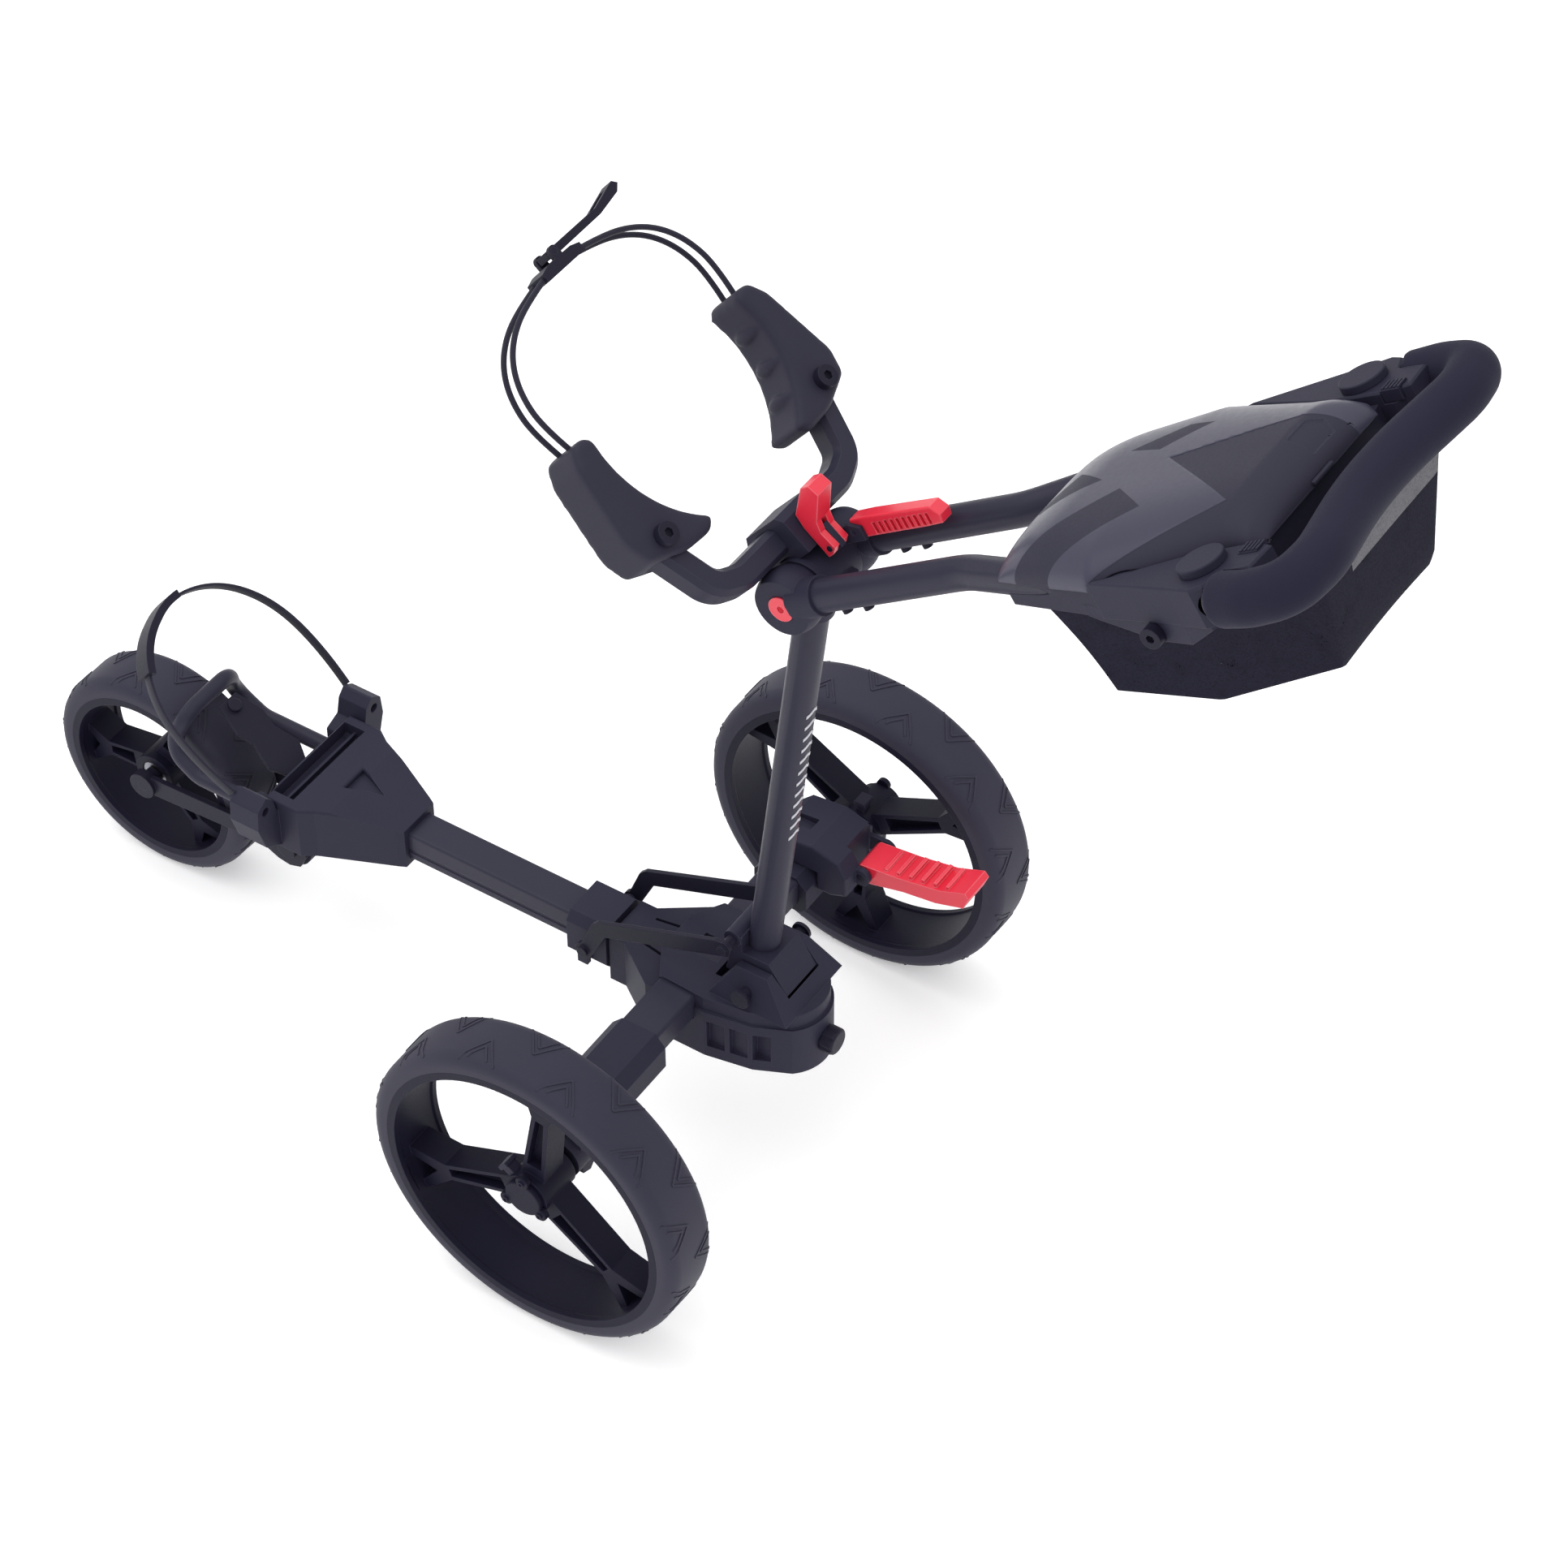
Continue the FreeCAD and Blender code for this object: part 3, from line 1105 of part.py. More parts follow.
def release_lever():
    """The red ribbed lever beside the right tube, which frees the handle's fold."""
    side = [(34, 18), (40, 29), (58, 29.5), (122, 28), (128, 20), (126, 13), (112, 12.4), (44, 12.4)]
    bar = plate("YZ", side, -28.0, 13.0)
    slots = [box((-30, 60 + 6 * step, 13.6), (6.0, 3.2, 10.0)) for step in range(10)]
    slots += [box((-19, 60 + 6 * step, 13.6), (6.0, 3.2, 10.0)) for step in range(10)]
    bore = rod((-40, 42, 20), "x", 2.5, 40)
    finish("release_lever", cut(soften(bar, 1.5, rim_at("x", -15.0)), *slots, bore), "handle")
    pin = rod((-31, 42, 20), "x", 2.5 - size.running_gap, 19)
    cheek = plate("YZ", [(30, 12), (30, 25), (40, 27), (50, 23), (50, 12)], -32.0, 3.6)
    seat = rod((-40, 42, 20), "x", 2.5 - size.running_gap, 40)
    tube_room = fuse(rod((-size.handle_inside, 20, 0), "y", size.handle_tube_radius, 60),
                     rod((-size.handle_inside, 10, 0), "y", 15.5, 26))
    cheek_in = plate("YZ", [(24, 12), (30, 25), (40, 27), (50, 23), (50, 12)], -14.6, 3.6)
    finish("lever_pin", fuse(pin, cut(cheek, seat, tube_room), cut(cheek_in, seat)), "handle")


wheels()
chassis_body()
tail_knob()
front_tube()
axle_beam()
wheel_carriers()
brake()
frame_pins()
lower_bracket()
bracket_hoop()
lower_strap()
front_fork()
fold_linkage()
mast()
cradle()
cradle_strap()
cradle_lever()
tube_feet = handle_frame()
grip()
skirt_bolts = console()
finish("handle_screws", group(tube_feet, skirt_bolts), "handle")
lid()
net_bag()
release_lever()
doc.recompute()

# --- check, then write --------------------------------------------------------------------------

for feature in doc.Objects:
    if "Invalid" in feature.State or "Error" in feature.State:
        raise RuntimeError(f"{feature.Name} ({feature.Label}) did not build: {feature.State}")
os.makedirs("parts", exist_ok=True)
for label, piece in parts.items():
    if piece.Shape.isNull() or not piece.Shape.isValid():
        raise RuntimeError(f"{label} has no valid shape")
    piece.Shape.exportStep(f"parts/{label}.step")
    print(f"{label:24s} solids {len(piece.Shape.Solids)}  volume {piece.Shape.Volume / 1000:9.2f} cm3")
print(len(parts), "sub-parts")
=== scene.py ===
# %% [markdown]
# # A golf push cart, dressed
# The frame of the cart comes ready made: every tube, hinge, wheel and bracket is already in place, in
# metres, with +Z up and +X on the cart's left. This lesson gives each piece its finish and models again
# what is soft or sculpted: tyres, foam grip, net bag, lid, pads and cords.

import json
import math

import bpy
from mathutils import Matrix, Vector


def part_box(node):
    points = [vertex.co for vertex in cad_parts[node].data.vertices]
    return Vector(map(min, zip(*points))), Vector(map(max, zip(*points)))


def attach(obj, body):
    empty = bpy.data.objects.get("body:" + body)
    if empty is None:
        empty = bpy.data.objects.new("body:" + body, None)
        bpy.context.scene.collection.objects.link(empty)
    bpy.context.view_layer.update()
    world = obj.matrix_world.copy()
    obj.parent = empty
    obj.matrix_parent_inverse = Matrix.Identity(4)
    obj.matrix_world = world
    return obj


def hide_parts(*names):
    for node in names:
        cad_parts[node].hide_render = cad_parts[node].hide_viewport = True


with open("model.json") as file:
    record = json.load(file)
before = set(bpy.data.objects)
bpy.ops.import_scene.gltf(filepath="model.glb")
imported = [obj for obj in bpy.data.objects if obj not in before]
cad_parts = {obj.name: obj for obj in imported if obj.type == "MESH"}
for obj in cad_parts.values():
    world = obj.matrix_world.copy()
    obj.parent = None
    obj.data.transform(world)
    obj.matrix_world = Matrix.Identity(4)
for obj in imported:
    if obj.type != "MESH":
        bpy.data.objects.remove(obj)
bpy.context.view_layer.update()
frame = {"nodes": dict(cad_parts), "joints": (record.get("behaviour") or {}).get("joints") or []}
print("pieces in the frame:", len(frame["nodes"]))

# %% [markdown]
# ## Places to work from
# The handle and the upper cradle are both tilted, so their pieces are easier to model flat. Two matrices
# bring a flat piece to its place. Their origins and slopes are read from the frame's own joints.

# %% Two tilted work planes
JOINTS = {joint["name"]: joint for joint in frame["joints"]}
HUB = Vector(JOINTS["handle_fold"]["pos_m"])
HANDLE_RISE = math.atan2(-JOINTS["left_dock_turn"]["axis"][1], JOINTS["left_dock_turn"]["axis"][2])
CRADLE_RISE = math.atan2(JOINTS["strap_lever_turn"]["axis"][1], JOINTS["strap_lever_turn"]["axis"][2])
STRAP_PIVOT_AHEAD = 0.140
ON_HANDLE = Matrix.Translation(HUB) @ Matrix.Rotation(HANDLE_RISE, 4, "X")
TO_CRADLE = Matrix.Rotation(-CRADLE_RISE, 4, "X")
STRAP_PIVOT = Vector(JOINTS["strap_lever_turn"]["pos_m"])
ON_CRADLE = Matrix.Translation(STRAP_PIVOT - TO_CRADLE @ Vector((0, -STRAP_PIVOT_AHEAD, 0))) @ TO_CRADLE
MM = 0.001
rises = [round(math.degrees(rise), 1) for rise in (HANDLE_RISE, CRADLE_RISE)]
print("handle and cradle rise by", rises, "degrees")

# %% [markdown]
# ## Working by hand
# Every operator acts on what is selected, so a piece is picked up alone before it is worked on. These
# helpers pick up a piece, select some of it by place, and put it down finished: joined, closed, facing
# outwards, with its place in its mesh.


# %% Picking up and putting down
def pick_up(piece):
    """Makes one piece the only selected one."""
    if bpy.context.object and bpy.context.object.mode != "OBJECT":
        bpy.ops.object.mode_set(mode="OBJECT")
    bpy.ops.object.select_all(action="DESELECT")
    piece.select_set(True)
    bpy.context.view_layer.objects.active = piece


def clear_bench():
    """Deselects everything before a new primitive is added."""
    if bpy.context.view_layer.objects.active and bpy.context.view_layer.objects.active.mode != "OBJECT":
        bpy.ops.object.mode_set(mode="OBJECT")
    bpy.ops.object.select_all(action="DESELECT")


def select_where(piece, kind, wanted):
    """Leaves edit mode open with the vertices, edges or faces selected whose middle a test wants."""
    pick_up(piece)
    bpy.ops.object.mode_set(mode="EDIT")
    bpy.ops.mesh.select_mode(type=kind)
    bpy.ops.mesh.select_all(action="DESELECT")
    bpy.ops.object.mode_set(mode="OBJECT")
    mesh = piece.data
    if kind == "FACE":
        for face in mesh.polygons:
            face.select = wanted(face.center)
    elif kind == "EDGE":
        for edge in mesh.edges:
            a, b = (mesh.vertices[index].co for index in edge.vertices)
            edge.select = wanted((a + b) / 2)
    else:
        for vertex in mesh.vertices:
            vertex.select = wanted(vertex.co)
    bpy.ops.object.mode_set(mode="EDIT")


def put_down(piece, name, place=None, smooth=40):
    """Names a piece, bakes its place into its mesh, joins and turns its faces, and smooths its curves."""
    pick_up(piece)
    piece.name = name
    piece.data.name = name
    if place is not None:
        piece.matrix_world = place @ piece.matrix_world
    bpy.ops.object.transform_apply(location=True, rotation=True, scale=True)
    bpy.ops.object.mode_set(mode="EDIT")
    bpy.ops.mesh.select_all(action="SELECT")
    bpy.ops.mesh.remove_doubles(threshold=0.00002)
    bpy.ops.mesh.normals_make_consistent(inside=False)
    bpy.ops.object.mode_set(mode="OBJECT")
    bpy.ops.object.shade_smooth_by_angle(angle=math.radians(smooth))
    return piece


def finish_with(piece, kind, **settings):
    """Adds one modifier with its settings and applies it."""
    pick_up(piece)
    modifier = piece.modifiers.new(kind.title(), kind)
    for key, value in settings.items():
        setattr(modifier, key, value)
    bpy.ops.object.modifier_apply(modifier=modifier.name)


def join(pieces):
    """Joins several pieces into the first one."""
    pick_up(pieces[0])
    for piece in pieces:
        piece.select_set(True)
    bpy.ops.object.join()
    return pieces[0]


def bar_at(centre, sides):
    """A bar with its sides in millimetres and its middle at a place in millimetres."""
    clear_bench()
    bpy.ops.mesh.primitive_cube_add(size=1, location=[value * MM for value in centre])
    piece = bpy.context.object
    piece.scale = [value * MM for value in sides]
    bpy.ops.object.transform_apply(location=True, rotation=True, scale=True)
    return piece


def dress(piece, body, material, *stands_for):
    """Gives a new piece its body, its finish and the frame pieces that it stands for."""
    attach(piece, body)
    if material is not None:
        piece.data.materials.clear()
        piece.data.materials.append(material)
    if stands_for:
        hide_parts(*stands_for)
    low = [round(min(vertex.co[axis] for vertex in piece.data.vertices), 3) for axis in range(3)]
    high = [round(max(vertex.co[axis] for vertex in piece.data.vertices), 3) for axis in range(3)]
    print(piece.name, "faces", len(piece.data.polygons), low, high)


# %% [markdown]
# ## Building finishes from nodes
# A finish is a small tree of nodes. One helper adds any node with its settings and links, and another
# turns a hex colour, as on a paint card, into the linear colour that the shader needs.


# %% Colours and nodes
def colour(hex_text):
    """A linear colour from an sRGB hex value."""
    parts = [int(hex_text[start:start + 2], 16) / 255 for start in (1, 3, 5)]
    linear = [part / 12.92 if part <= 0.04045 else ((part + 0.055) / 1.055) ** 2.4 for part in parts]
    return (*linear, 1.0)


def add(tree, kind, links=(), **settings):
    """Adds a node. links pairs an input with a socket or a value, and settings are its properties."""
    node = tree.nodes.new(kind)
    for key, value in settings.items():
        setattr(node, key, value)
    for key, value in links:
        if isinstance(value, bpy.types.NodeSocket):
            tree.links.new(value, node.inputs[key])
        else:
            node.inputs[key].default_value = value
    return node


def new_finish(name):
    """An empty material with its output node, ready for a shader."""
    material = bpy.data.materials.new(name)
    material.use_nodes = True
    tree = material.node_tree
    tree.nodes.clear()
    return material, tree, add(tree, "ShaderNodeOutputMaterial")


# %% [markdown]
# ## Moulded nylon, powder coat and rubber
# Most of the cart is glass-filled nylon, moulded in a spark-eroded tool: a dense matte grain, a slow
# drift of shade from the melt's flow, and edges rubbed a little paler. Powder-coated tube is smoother
# with an orange-peel skin. All of them are one recipe with other numbers: grain size in millimetres,
# grain height, roughness and the paler edge. The bevel node rounds every hard edge by about a
# millimetre, as a mould does, so that edges catch the light.


# %% One recipe for moulded and coated skins
FLOW_SCALE = 14.0          # a patch of flow is about 70 mm wide
ROUGHNESS_SWING = 0.07     # how far each grain's gloss strays from the rest


def skin(name, base, edge, roughness, grain_mm, grain_height, drift=0.16, edge_share=0.5, edge_mm=1.0,
         metallic=0.0, coat=0.0, coat_roughness=0.2, sheen=0.0, shine=0.16):
    """A moulded or coated skin. grain_mm is the width of one grain and grain_height its relief in mm."""
    material, tree, output = new_finish(name)
    place = add(tree, "ShaderNodeTexCoord").outputs["Object"]
    flow = add(tree, "ShaderNodeTexNoise", [("Vector", place), ("Scale", FLOW_SCALE), ("Detail", 3.0)])
    grain = add(tree, "ShaderNodeTexNoise", [("Vector", place), ("Scale", 1000.0 / grain_mm),
                                             ("Detail", 2.0)])
    rubbed = add(tree, "ShaderNodeBevel", [("Radius", edge_mm * MM)], samples=6)
    flat = add(tree, "ShaderNodeNewGeometry").outputs["Normal"]
    facing = add(tree, "ShaderNodeVectorMath", [(0, rubbed.outputs[0]), (1, flat)],
                 operation="DOT_PRODUCT")
    edges = add(tree, "ShaderNodeMapRange", [("Value", facing.outputs["Value"]), ("From Min", 0.99),
                                             ("From Max", 0.86), ("To Min", 0.0), ("To Max", edge_share)])
    dark = tuple(part * (1 - drift) for part in colour(base)[:3]) + (1.0,)
    light = tuple(part * (1 + drift) for part in colour(base)[:3]) + (1.0,)
    body = add(tree, "ShaderNodeMix", [(0, flow.outputs["Fac"]), (6, dark), (7, light)], data_type="RGBA")
    worn = add(tree, "ShaderNodeMix", [(0, edges.outputs[0]), (6, body.outputs[2]), (7, colour(edge))],
               data_type="RGBA")
    rough = add(tree, "ShaderNodeMapRange", [("Value", grain.outputs["Fac"]),
                                             ("To Min", roughness - ROUGHNESS_SWING),
                                             ("To Max", roughness + ROUGHNESS_SWING)])
    relief = add(tree, "ShaderNodeBump", [("Height", grain.outputs["Fac"]), ("Distance", grain_height * MM),
                                          ("Strength", 0.6), ("Normal", rubbed.outputs[0])])
    shader = add(tree, "ShaderNodeBsdfPrincipled", [
        ("Base Color", worn.outputs[2]), ("Roughness", rough.outputs[0]), ("Normal", relief.outputs[0]),
        ("Metallic", metallic), ("Specular IOR Level", shine), ("Coat Weight", coat),
        ("Coat Roughness", coat_roughness), ("Sheen Weight", sheen)])
    tree.links.new(shader.outputs[0], output.inputs["Surface"])
    return material


# %% [markdown]
# The cart's colours are all one blue-black, so the finishes tell pieces apart by gloss and grain. A low
# specular level keeps the matte ones from greying under the bright room, and only the levers are red.

# %% The finishes by name
# glass-filled nylon: matte, faint grain
NYLON = skin("moulded_nylon", "#292839", "#484759", 0.55, 1.3, 0.08, drift=0.10)
# the same nylon on rims, hub caps and fork discs, painted darker as painted shade deep inside wheels and
# joints
RIM_PAINTED_SHADE_NYLON = skin("painted_shade_wheel_nylon", "#191829", "#33324A", 0.52, 1.6, 0.10, drift=0.12, shine=0.12)
# powder coat over aluminium: smoother, with an orange-peel skin about 2 mm across
POWDER_COAT = skin("powder_coat", "#2C2B3B", "#4D4C5E", 0.45, 2.2, 0.04, drift=0.06, coat=0.06)
# the coat on flat steel bars, a shade darker
BAR_COAT = skin("bar_coat", "#1D1C2B", "#3A394B", 0.48, 2.0, 0.04, drift=0.08, shine=0.15)
# soft tyre compound: no sharp highlight, slightly dusty
TYRE_RUBBER = skin("tyre_rubber", "#31303F", "#474656", 0.62, 0.9, 0.08, edge_mm=0.5, drift=0.08, sheen=0.05)
# closed-cell foam: cells about 0.7 mm, drawn at 1.2 mm so that they show
GRIP_FOAM = skin("grip_foam_skin", "#262536", "#38374A", 0.75, 1.2, 0.20, edge_mm=1.5, drift=0.08,
                 sheen=0.03, shine=0.08)
# thermoplastic rubber on the bag pads
PAD_RUBBER = skin("pad_rubber", "#2B2A39", "#474657", 0.55, 1.1, 0.08, edge_mm=1.5, drift=0.08, sheen=0.03)
# red ABS, moulded glossy
RED_ABS = skin("red_abs", "#E3283F", "#FF8592", 0.32, 3.0, 0.03, drift=0.05, edge_share=0.7, edge_mm=1.4,
               coat=0.2, coat_roughness=0.15, shine=0.5)
# zinc-plated steel: bolts, bearings, pins
ZINC = skin("zinc_plate", "#8E8E96", "#C9C9D0", 0.34, 1.5, 0.04, metallic=1.0, shine=0.5)
# woven elastic cord, its braid drawn at 1 mm
CORD_WEAVE = skin("cord_weave", "#222130", "#3B3A4A", 0.70, 0.8, 0.25, edge_mm=0.4, sheen=0.15)
print("finishes", len(bpy.data.materials))

# %% [markdown]
# ## Which piece wears what
# Every frame piece whose shape is right keeps its shape and gets its finish here, by name.

# %% Finishes for the frame's pieces
WEARS = {
    RIM_PAINTED_SHADE_NYLON: ["left_rim", "right_rim", "front_rim", "left_hub_cap", "right_hub_cap", "fork_discs"],
    POWDER_COAT: ["front_tube", "axle_beam", "mast_tube", "handle_tubes", "grip_core", "bracket_hoop",
                  "cradle_bar"],
    BAR_COAT: ["fork_arms", "link_bars", "hoop_plate", "strap_tab", "strap_buckle", "strap_lever",
               "fork_pins", "frame_pins", "cradle_fasteners", "handle_screws", "tail_knob", "pivot_bolt"],
    RED_ABS: ["brake_pedal", "tilt_lever", "release_lever", "pivot_caps"],
    ZINC: ["left_bearings", "right_bearings", "front_bearings"],
    TYRE_RUBBER: ["left_tyre", "right_tyre", "front_tyre"],
    GRIP_FOAM: ["grip_foam"],
    PAD_RUBBER: ["cradle_pads"],
    CORD_WEAVE: ["strap_cords", "lower_strap"],
}
chosen = {name: material for material, names in WEARS.items() for name in names}
for name, node in frame["nodes"].items():
    material = chosen.get(name, NYLON)
    node.data.materials.clear()
    node.data.materials.append(material)
print("dressed", len(frame["nodes"]), "frame pieces, by name", len(chosen))

# %% [markdown]
# ## Tyres
# Each tyre is a solid band of soft compound, moulded with a crown and with raised marks along both
# shoulders. A flat section is spun round the axle. The real marks are a maker's sign; here they are plain
# nested chevrons. One chevron set is modelled flat and wrapped round the band many times.


# %% A flat set of chevrons
NESTED = ((18, 24, 0), (10, 14, 2.5))     # each chevron's reach, rise and start, in millimetres
STROKE_WIDTH, STROKE_HEIGHT = 1.7, 1.3


def chevron_set():
    """Nested raised chevrons, flat: x along the tread, y across it, z out, all in metres."""
    strokes = []
    for reach, rise, start in NESTED:
        for side in (-1, 1):
            length = math.hypot(reach, rise)
            stroke = bar_at((0, 0, 0), (length, STROKE_WIDTH, STROKE_HEIGHT))
            pick_up(stroke)
            bpy.ops.object.mode_set(mode="EDIT")
            bpy.ops.mesh.select_all(action="SELECT")
            bpy.ops.mesh.subdivide(number_cuts=3)
            bpy.ops.object.mode_set(mode="OBJECT")
            turn = math.atan2(rise, side * reach)
            middle = Vector((side * reach / 2, start + rise / 2, 0)) * MM
            stroke.data.transform(Matrix.Translation(middle) @ Matrix.Rotation(math.pi - turn, 4, "Z"))
            strokes.append(stroke)
    return join(strokes)


CHEVRONS = chevron_set()
flat_marks = [vertex.co.copy() for vertex in CHEVRONS.data.vertices]
print("chevron set", len(flat_marks), "vertices")


# %% [markdown]
# The band's section is a plain rectangle whose two outer corners are rounded with a bevel. Spin carries it
# once round the axle. A mark's flat x becomes an angle round the tyre and its y a way in from the edge, and
# where it passes the round shoulder it drops with it.

# %% The band and the place of a mark
BAND_DEPTH, SHOULDER = 0.0165, 0.0115
MARK_FROM_EDGE = 0.0035


def spun_band(centre, radius, width):
    """A crowned band round an axle along X."""
    clear_bench()
    bpy.ops.mesh.primitive_plane_add(size=1, rotation=(math.pi / 2, 0, 0))
    tyre = bpy.context.object
    tyre.scale = (width, BAND_DEPTH, 1)
    tyre.location = (centre.x, centre.y, centre.z + radius - BAND_DEPTH / 2)
    bpy.ops.object.transform_apply(location=True, rotation=True, scale=True)
    select_where(tyre, "VERT", lambda co: co.z > centre.z + radius - 0.001)
    bpy.ops.mesh.bevel(offset=SHOULDER, segments=7, affect="VERTICES", clamp_overlap=True)
    bpy.ops.mesh.select_all(action="SELECT")
    bpy.ops.mesh.delete(type="ONLY_FACE")
    bpy.ops.mesh.select_all(action="SELECT")
    bpy.ops.mesh.spin(steps=120, angle=2 * math.pi, center=centre, axis=(1, 0, 0))
    bpy.ops.object.mode_set(mode="OBJECT")
    return tyre


def on_tread(co, side, angle, centre, radius, width):
    """Where a flat mark's point lands on the tread, on one side and at one angle."""
    across = side * (width / 2 - MARK_FROM_EDGE - co.y)
    fall = max(0.0, abs(across) - (width / 2 - SHOULDER))
    drop = SHOULDER - math.sqrt(max(0.0, SHOULDER ** 2 - fall ** 2))
    out = radius - drop + co.z + 0.0001
    turn = angle + co.x / radius
    return Vector((centre.x + across, centre.y + out * math.cos(turn), centre.z + out * math.sin(turn)))


# %% Three tyres with their marks
def make_tyre(node, body, marks):
    """A crowned tyre in the place of the frame's plain one, with its marks."""
    low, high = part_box(node)
    centre = (low + high) / 2
    radius = (high.z - low.z) / 2
    width = high.x - low.x
    tyre = spun_band(centre, radius, width)
    put_down(tyre, node + "_tread", smooth=50)
    pieces = [tyre]
    for side in (-1, 1):
        for count in range(marks):
            angle = 2 * math.pi * (count + (0.5 if side > 0 else 0.0)) / marks
            copy = bpy.data.objects.new("mark", CHEVRONS.data.copy())
            bpy.context.collection.objects.link(copy)
            for vertex, co in zip(copy.data.vertices, flat_marks):
                vertex.co = on_tread(co, side, angle, centre, radius, width)
            if side < 0:
                copy.data.flip_normals()
            pieces.append(copy)
    join(pieces)
    bpy.ops.object.shade_smooth_by_angle(angle=math.radians(40))
    dress(tyre, body, TYRE_RUBBER, node)


make_tyre("left_tyre", "left_wheel", 12)
make_tyre("right_tyre", "right_wheel", 12)
make_tyre("front_tyre", "front_wheel", 9)
bpy.data.objects.remove(CHEVRONS)

# %% [markdown]
# ## Foam grip
# The grip is a sleeve of closed-cell foam pushed over a bent tube. It is one soft round bow, with ends cut
# square and slightly rolled. The frame's sleeve is copied, remeshed into even small faces and smoothed, so
# that its edges roll over as foam does.


# %% A softened copy of a frame piece
def softened(node, name, voxel, rounds):
    """A copy of a frame piece with its triangles joined, remeshed evenly and smoothed."""
    copy = bpy.data.objects.new(name, frame["nodes"][node].data.copy())
    bpy.context.collection.objects.link(copy)
    pick_up(copy)
    bpy.ops.object.mode_set(mode="EDIT")
    bpy.ops.mesh.select_all(action="SELECT")
    bpy.ops.mesh.remove_doubles(threshold=0.00001)
    bpy.ops.object.mode_set(mode="OBJECT")
    finish_with(copy, "REMESH", mode="VOXEL", voxel_size=voxel)
    finish_with(copy, "SMOOTH", factor=0.5, iterations=rounds)
    bpy.ops.object.shade_smooth()
    return copy


grip = softened("grip_foam", "foam_grip", 0.0022, 4)
dress(grip, "handle", GRIP_FOAM, "grip_foam")

# %% [markdown]
# ## Bag pads
# Two wings of rubbery plastic hold the bag. Each is a curved shoe with rounded edges and three raised
# teardrops on the face that grips. The frame's pads are copied, the teardrops are added as squashed
# spheres, and one remesh melts them together.


# %% Pads with teardrop grips
PAD_INNER_RADIUS = 96.4
DROP_SIZE = (5.0, 5.4, 15.5)     # half its height off the pad, half its width and half its length
DROP_TAPER = 0.42
DROP_ANGLES = (2, 19, 36)


def teardrop(side, angle):
    """One teardrop on a pad's inner face, flat in the cradle's plane."""
    clear_bench()
    bpy.ops.mesh.primitive_uv_sphere_add(segments=24, ring_count=16, radius=1)
    drop = bpy.context.object
    for vertex in drop.data.vertices:
        slim = 1.0 - DROP_TAPER * vertex.co.z
        vertex.co.x = vertex.co.x * DROP_SIZE[0] * MM * slim
        vertex.co.y = vertex.co.y * DROP_SIZE[1] * MM * slim
        vertex.co.z = vertex.co.z * DROP_SIZE[2] * MM
    turn = math.radians(angle)
    spot = Vector((side * PAD_INNER_RADIUS * MM * math.cos(turn), PAD_INNER_RADIUS * MM * math.sin(turn), 0))
    facing = Matrix.Rotation(turn if side > 0 else math.pi - turn, 4, "Z")
    drop.matrix_world = ON_CRADLE @ Matrix.Translation(spot) @ facing
    bpy.ops.object.transform_apply(location=True, rotation=True, scale=True)
    return drop


pads = bpy.data.objects.new("bag_pads", frame["nodes"]["cradle_pads"].data.copy())
bpy.context.collection.objects.link(pads)
finish_with(pads, "REMESH", mode="VOXEL", voxel_size=0.0018)
finish_with(pads, "SMOOTH", factor=0.5, iterations=22)
drops = [teardrop(side, angle) for side in (-1, 1) for angle in DROP_ANGLES]
join([pads] + drops)
finish_with(pads, "REMESH", mode="VOXEL", voxel_size=0.0014)
finish_with(pads, "SMOOTH", factor=0.5, iterations=3)
bpy.ops.object.shade_smooth()
dress(pads, "cradle", PAD_RUBBER, "cradle_pads")

# %% [markdown]
# ## Cords
# The upper strap is two round elastic cords from each pad to the buckle, and the lower one a flat elastic
# band. Each is a smooth curve through a few control points, given its thickness by the curve itself.


# %% Cords as smooth curves
def smooth_line(points, place):
    """A smooth open curve whose control points are given flat, in millimetres."""
    data = bpy.data.curves.new("line", "CURVE")
    data.dimensions = "3D"
    spline = data.splines.new("NURBS")
    spline.points.add(len(points) - 1)
    for point, co in zip(spline.points, points):
        spot = place @ (Vector(co) * MM)
        point.co = (*spot, 1.0)
    spline.use_endpoint_u = True
    spline.order_u = 3
    spline.resolution_u = 16
    line = bpy.data.objects.new("line", data)
    bpy.context.collection.objects.link(line)
    return line


def corded(line, radius, name):
    """Turns a smooth line into a closed round cord."""
    line.data.bevel_depth = radius
    line.data.bevel_resolution = 5
    line.data.use_fill_caps = True
    pick_up(line)
    bpy.ops.object.convert(target="MESH")
    cord = bpy.context.object
    return put_down(cord, name, smooth=60)


CORD_RADIUS, CORD_LIFT = 2.3, 7
CORD_POINTS = [(106, -26), (111, -52), (107, -78), (95, -99), (76, -114), (50, -124), (21, -129)]
cords = []
for side in (-1, 1):
    for lift in (-CORD_LIFT, CORD_LIFT):
        line = smooth_line([(side * x, y, lift) for x, y in CORD_POINTS], ON_CRADLE)
        cords.append(corded(line, CORD_RADIUS * MM, "cord"))
strap = join(cords)
put_down(strap, "elastic_cords", smooth=60)
dress(strap, "cradle", CORD_WEAVE, "strap_cords")

# %% [markdown]
# The lower strap is a flat band, 10 mm wide and 2.5 mm thick. Its line is drawn down its middle, pulled out
# across the plane that it lies in, and given its thickness.

